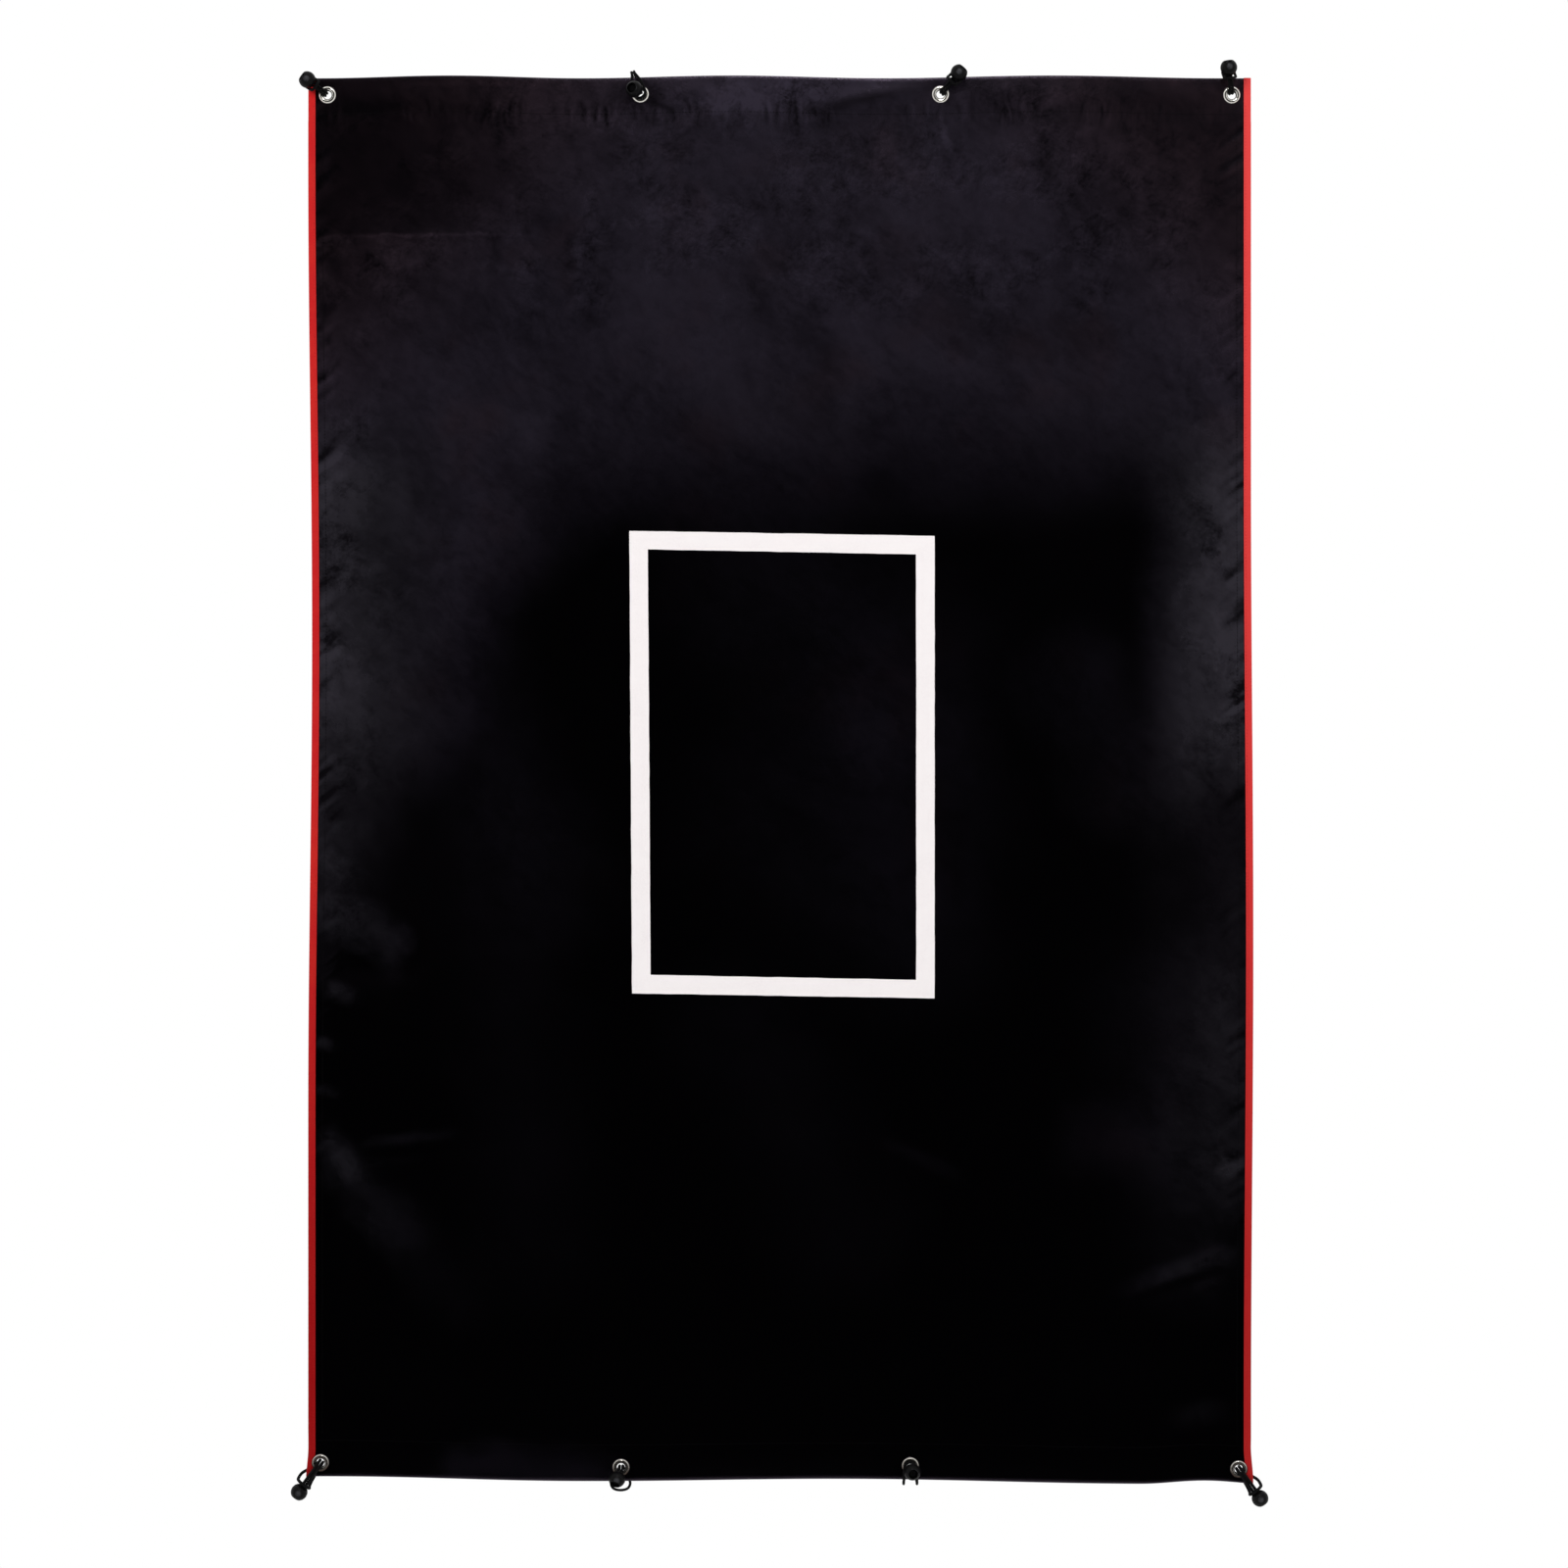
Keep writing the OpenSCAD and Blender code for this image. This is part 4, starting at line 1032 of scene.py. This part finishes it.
def arch(start, end, base, rise, steps):
    turn = np.linspace(0, math.pi, steps + 1)
    return [((start + end) / 2 - (end - start) / 2 * math.cos(t), base + rise * math.sin(t)) for t in turn]


grommet = {"bore": 5.5, "flange": 11.25, "flangeHeight": 2.4, "metal": 0.7, "hole": 6.3, "washer": 10.75, "curl": 1.2,
           "sides": 72}


def grommetPieces(i, material):
    bore, flange, rise, metal, hole, rim, curl, sides = grommet.values()
    front, back = -sheetCut["vinyl"] / 2, sheetCut["hemBack"] + metal
    barrel, curlEdge = bore + metal, bore + 4 * metal
    section = (arch(bore, flange, front, -rise, 24) + arch(flange - metal, barrel, front, metal - rise, 10)
               + arch(barrel, curlEdge - metal, back, curl - metal, 6) + arch(curlEdge, bore, back, curl, 14))
    dish = [(hole, back - metal), (rim - 0.15, back - metal), (rim, back - metal + 0.15), (rim, back - 0.4),
            (rim - 0.12, back - 0.15), (rim - 0.4, back), (hole + 0.1, back)]
    x, z = grommetAt(i)
    out = []
    for name, shape, stands in (("eyelet_", section, "grommet_eyelet_"), ("washer_", dish, "grommet_washer_")):
        points, faces = lathe(shape, sides)
        points = np.stack([points[:, 0] + x, points[:, 2], z - points[:, 1]], 1)
        out.append(makePiece(name + places[i], points, faces, material, "sheet", [stands + places[i]], 35))
    return out


# Bungees: angle from straight out of the sheet towards the right, the ball's centre and the cord's points as
# (side, depth, reach) from the grommet. A fourth value shifts both strands sideways.
throughBore = [(1.9, -3.4, 1.4), (1.9, 1, 1.6), (1.9, 6.4, 2.6)]
overHem = [(1.9, -6.6, 8), (1.9, -3.4, 3.0), (1.9, 1, 2.6), (1.9, 6.4, 3.2), (1.9, 8.6, 8), (1.9, 8.2, 20),
           (2.2, 6.8, 33)]
cornerCord = overHem + [(3, 1.2, 38.6), (5.2, -4, 35), (7.4, -5, 28), (7.3, -8, 21), (6.8, -13, 17), (0, -17, 15.6)]
edgeCord = overHem + [(3, 1.2, 38.8), (5.0, -4, 36), (7.4, -5, 30), (7.4, -9, 24), (6.8, -14, 20), (0, -18, 19)]
peakCord = throughBore + [(1.9, 8.6, 8), (1.9, 8, 18), (1.85, 6, 26), (1.8, 1.2, 30.5), (2.0, -4, 27),
                          (5.5, -6.2, 17), (8, -7, 6, -1), (7, -8.2, -2, -1), (0, -8.6, -6, -1)]
hookCord = throughBore + [(2.6, 8.6, 7), (5.5, 8.2, 14), (8.2, 6, 20.5), (8.6, 1.2, 23.6), (8.6, -4, 21),
                          (8.4, -6.4, 13), (8, -7, 5), (6.8, -8.2, -2), (0, -8.6, -6)]
slackCord = [(1.9, -4.8, 1.2), (1.9, 1, -0.6), (2.2, 7, -0.6), (4.6, 11.5, 5.5, 0), (9.8, 14, 15, 0.8),
             (12.4, 11, 23, 1), (9, 8.6, 29, 1), (0, 7.8, 31, 1)]
longCord = [(2.05, -5.1, 22), (2.05, -6.6, 8), (2.1, -3.6, 1.9), (2.2, 1, -0.5), (2.2, 6.2, -0.9), (2.8, 9.4, 4.5),
            (5.8, 8.6, 18, 2), (8.1, 7.4, 27, 3.4), (8.8, 2, 33.8, 2.4), (8.4, -4.6, 34.2, 0.8), (4.8, -9.9, 33.8),
            (0, -10.8, 33.6)]
longCordMirrored = [(*p[:3], *(-shift for shift in p[3:])) for p in longCord]
bungees = [(-55, (0, -15.6, 29.6), cornerCord), (-19, (-6, -19.8, 5), peakCord), (43, (0, -16.6, 34), edgeCord),
           (-10, (0, -16.6, 33), edgeCord), (-36, (0, -2.5, 46.5), longCord), (0, (4.5, -15.5, 12.5), slackCord),
           (0, (-2, -19.8, 4.5), hookCord), (36, (0, -2.5, 46.5), longCordMirrored)]
ballShape = {"radius": 10.75, "neck": 4.9, "cavity": 6.2, "ledge": 1.0, "lip": 0.5, "seam": 0.14, "seamHalf": 0.45,
             "sides": 64}
cordShape = {"radius": 1.75, "slackRadius": 2.05, "slackFrom": 40, "gap": 0.1, "sides": 14, "steps": 7}


def shiftOf(p):
    return p[3] if len(p) > 3 else 0


def neckWay(i):
    first = bungees[i][2][0]
    return unit(np.array([shiftOf(first), first[1], first[2]]) - np.array(bungees[i][1], float))


def placed(i, points):
    # from a bungee's own (side, depth, reach) to the sheet's frame
    turn = math.radians(bungees[i][0] if i < 4 else 180 - bungees[i][0])
    c, s = math.cos(turn), math.sin(turn)
    x, z = grommetAt(i)
    points = np.asarray(points, float)
    side, depth, reach = points.T
    return np.stack([x + side * c + reach * s, depth, z - side * s + reach * c], 1)


def cordRadius(i):
    # the long slack cords at the bottom corners aren't drawn thin
    return cordShape["slackRadius" if bungees[i][1][2] > cordShape["slackFrom"] else "radius"]


def cordLine(i):
    # two strands side by side from the ball, meeting at the loop's far end, rounded through their points
    way, centre, radius = neckWay(i), np.array(bungees[i][1], float), ballShape["radius"]
    across = unit(np.array([1.0, 0, 0]) - way[0] * way) * (cordRadius(i) + cordShape["gap"] / 2)
    lines = []
    for hand in (1, -1):
        line = [centre + way * d + across * hand for d in (ballShape["ledge"], radius * 0.7, radius + 1)]
        line += [np.array([p[0] * hand + shiftOf(p), p[1], p[2]], float) for p in bungees[i][2]]
        lines.append(line)
    p = np.array(lines[0] + lines[1][-2::-1])
    out, last = [], len(p) - 1
    for k in range(last):
        a, b, c, d = p[max(k - 1, 0)], p[k], p[k + 1], p[min(k + 2, last)]
        for t in np.linspace(0, 1, cordShape["steps"], endpoint=False):
            bend, twist = 2 * a - 5 * b + 4 * c - d, 3 * b - a - 3 * c + d
            out.append(b + (c - a) * t / 2 + bend * t * t / 2 + twist * t ** 3 / 2)
    return placed(i, out + [p[last]])


def cordPiece(i, material):
    line = cordLine(i)
    ways = unitRows(np.gradient(line, axis=0))
    up = np.array([0.3, 1, 0.2])
    sides, radius, turn = cordShape["sides"], cordRadius(i), circle(cordShape["sides"])
    length = np.concatenate([[0], np.cumsum(np.linalg.norm(np.diff(line, axis=0), axis=1))])
    rings = []
    for k, way in enumerate(ways):
        up = unit(up - way * (up @ way))
        side = np.cross(way, up)
        rings.append(line[k] + radius * (np.outer(np.cos(turn), up) + np.outer(np.sin(turn), side)))
    quads, *ends = tubeFaces(len(line), sides)
    where = places[i]
    piece = makePiece("cord_" + where, np.concatenate(rings), quads + ends, material, "bungee_" + where,
                      ["bungee_loop_" + where], 60)
    # the braid's coordinates go once round the cord and are square along it
    layer = piece.data.uv_layers.new(name="cloth")
    pitch = 2 * math.pi * radius
    for polygon in piece.data.polygons:
        ks = [piece.data.loops[n].vertex_index for n in polygon.loop_indices]
        around = [v % sides / sides for v in ks]
        wraps = max(around) > 0.7 and min(around) < 0.3
        for n, v, u in zip(polygon.loop_indices, ks, around):
            layer.data[n].uv = (u + 1 if wraps and u < 0.3 else u, length[v // sides] / pitch)
    return piece


def ballPiece(i, material):
    # from the neck, where the cord goes in, round the outside and its moulded seam to the open back
    r, neck, cavity, ledge, lip, seam, seamHalf, sides = ballShape.values()
    section = [(neck, -ledge), (neck, -math.sqrt(r ** 2 - neck ** 2) + lip)]
    start = -math.asin(math.sqrt(r ** 2 - (neck + lip) ** 2) / r)
    end = math.asin(math.sqrt(r ** 2 - (cavity + lip) ** 2) / r)
    section.append((neck + 0.3 * lip, r * math.sin(start) + 0.1 * lip))
    for a in np.linspace(start, end, 40):
        raised = r + seam * float(hump(a * r, seamHalf))
        section.append((raised * math.cos(a), raised * math.sin(a)))
    back = r * math.sin(end)
    section += [(cavity + 0.3 * lip, back - 0.1 * lip), (cavity, back - lip), (cavity, -ledge)]
    points, faces = lathe(section, sides)
    away = -neckWay(i)
    first = unit(np.cross(away, [0.1, 0.3, 1.0]))
    second = np.cross(away, first)
    local = points[:, :1] * first + points[:, 1:2] * second + points[:, 2:] * away + np.array(bungees[i][1], float)
    where = places[i]
    return makePiece("ball_" + where, placed(i, local), faces, material, "bungee_" + where,
                     ["bungee_ball_" + where], 40)


vinyl = vinylMaterial()
redTape = tapeMaterial()
whiteInk = printMaterial()
nickel = nickelMaterial()
blackThread = threadMaterial("blackThread", (0.0012, 0.0012, 0.0014, 1), (0.0045, 0.004, 0.0046, 1), 0.04)
redThread = threadMaterial("redThread", (0.4, 0.012, 0.014, 1), (0.5, 0.03, 0.03, 1), 0.15)
ballPlastic = ballMaterial()
braidedCord = cordMaterial()
webbing = webbingMaterial()
print("materials built")

panel = vinylPanel(vinyl)
print("vinyl panel:", len(panel.data.vertices), "points")
whiteFrame = printedFrame(whiteInk)
tapes = [bindingTape(side, redTape) for side in (-1, 1)]
seams = stitching(blackThread, redThread)
print("print, bindings and stitching done")

eyelets = [piece for i in range(len(places)) for piece in grommetPieces(i, nickel)]
for i in range(len(places)):
    cordPiece(i, braidedCord)
    ballPiece(i, ballPlastic)
print("grommets and bungees done")

for name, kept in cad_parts.items():
    finish = webbing if name.endswith("_webbing") else braidedCord if name.startswith("bungee_knot") else None
    if finish:
        kept.data.materials.clear()
        kept.data.materials.append(finish)


# Studio: pale floor, soft lamps out of the camera's sight, and a white background. All in metres and watts.
studio = {
    "floorHeight": -2.3, "floorRadius": 1.65, "floorColour": (0.82, 0.82, 0.82, 1), "floorFade": (0.6, 0.98),
    "background": 1.0, "fill": 0.3, "frontMirror": 0.004, "sideMirror": 0.85, "darkCone": (0.72, 0.88),
    "keyPower": 129.0, "keyAt": (3.4, -2.5, 0.9), "keySize": (1.6, 2.6),
    "sparkPower": 30.0, "sparkAt": (0.2, -3.6, 2.1), "sparkSize": (0.8, 0.5),
    "backPower": 75.0, "backAt": (0, 4.0, 1.2), "backSize": (3.0, 2.0),
    # dim panels that the vinyl mirrors as a soft sheen along its sides and top, each with its low and high corner
    "sheen": 0.055, "sheenDepth": -3.0,
    "sheenPanels": {"sheenLeft": ((-2.4, -1.25), (-0.81, 0.12)), "sheenRight": ((0.83, -1.65), (2.4, 1.2)),
                    "sheenTop": ((-0.52, -0.12), (0.83, 1.2))},
}


def addFloor():
    sides, rings, radius = 96, 12, studio["floorRadius"]
    points, faces = [(0, 0, studio["floorHeight"])], [[0, 1 + j, 1 + (j + 1) % sides] for j in range(sides)]
    for k in range(1, rings + 1):
        reach = radius * k / rings
        points += [(reach * math.cos(t), reach * math.sin(t), studio["floorHeight"]) for t in circle(sides)]
    faces += [[1 + corner for corner in quad[::-1]] for quad in tubeFaces(rings, sides)[0]]
    mesh = bpy.data.meshes.new("floor")
    mesh.from_pydata(points, [], faces)
    addObject("floor", mesh)
    sockets = {"Roughness": 0.9, "Specular_IOR_Level": 0.1, "Base_Color": studio["floorColour"]}
    material, tree = newMaterial("paleFloor", **sockets)
    reach = calcVector("LENGTH", place(coordinates(tree), (1, 1, 0)))
    clear = fade(reach, *(radius * share for share in studio["floorFade"]))
    wire(tree.nodes["Principled BSDF"].inputs["Alpha"], clear)
    mesh.materials.append(material)


def addWorld():
    # white to the camera, soft to everything else, and nearly black where the vinyl would mirror it
    world = bpy.data.worlds.new("studio")
    bpy.context.scene.world = world
    world.use_nodes = True
    tree = world.node_tree
    tree.nodes.clear()
    rays = newNode(tree, "LightPath").outputs
    camera, glossy, clear = (Signal(rays["Is %s Ray" % kind]) for kind in ("Camera", "Glossy", "Transmission"))
    forward = abs(axes(coordinates(tree, "Generated"))[1])
    mirror = fit(forward, *studio["darkCone"], studio["sideMirror"], studio["frontMirror"])
    seen = largest(camera, clear)
    strength = glossy * mirror + seen * studio["background"] + (1.0 - largest(seen, glossy)) * studio["fill"]
    shade = newNode(tree, "Background", {"Color": (1, 1, 1, 1), "Strength": strength})
    newNode(tree, "OutputWorld", {"Surface": Signal(shade.outputs[0])})


def addLamp(name, at, aim, size, power, diffuse=True, glossy=True):
    data = bpy.data.lights.new(name, "AREA")
    data.shape = "RECTANGLE"
    data.size, data.size_y = size
    data.energy = power
    lamp = addObject(name, data)
    lamp.location = at
    lamp.rotation_euler = (Vector(aim) - Vector(at)).to_track_quat("-Z", "Y").to_euler()
    lamp.visible_camera, lamp.visible_diffuse, lamp.visible_glossy = False, diffuse, glossy


def addLamps():
    x, y, z = studio["keyAt"]
    for side, name in ((-1, "keyLeft"), (1, "keyRight")):
        addLamp(name, (side * x, y, z), (0, 0, -0.85), studio["keySize"], studio["keyPower"], glossy=False)
    addLamp("spark", studio["sparkAt"], (0, 0, -0.5), studio["sparkSize"], studio["sparkPower"], diffuse=False)
    addLamp("backFill", studio["backAt"], (0, 0, -0.9), studio["backSize"], studio["backPower"], glossy=False)
    for name, (low, high) in studio["sheenPanels"].items():
        size = (high[0] - low[0], high[1] - low[1])
        x, z = ((a + b) / 2 for a, b in zip(low, high))
        power = studio["sheen"] * size[0] * size[1] * math.pi
        addLamp(name, (x, studio["sheenDepth"], z), (x, 0, z), size, power, diffuse=False)


addFloor()
addWorld()
addLamps()
bpy.context.scene.view_settings.view_transform = "Standard"
print("studio lit")
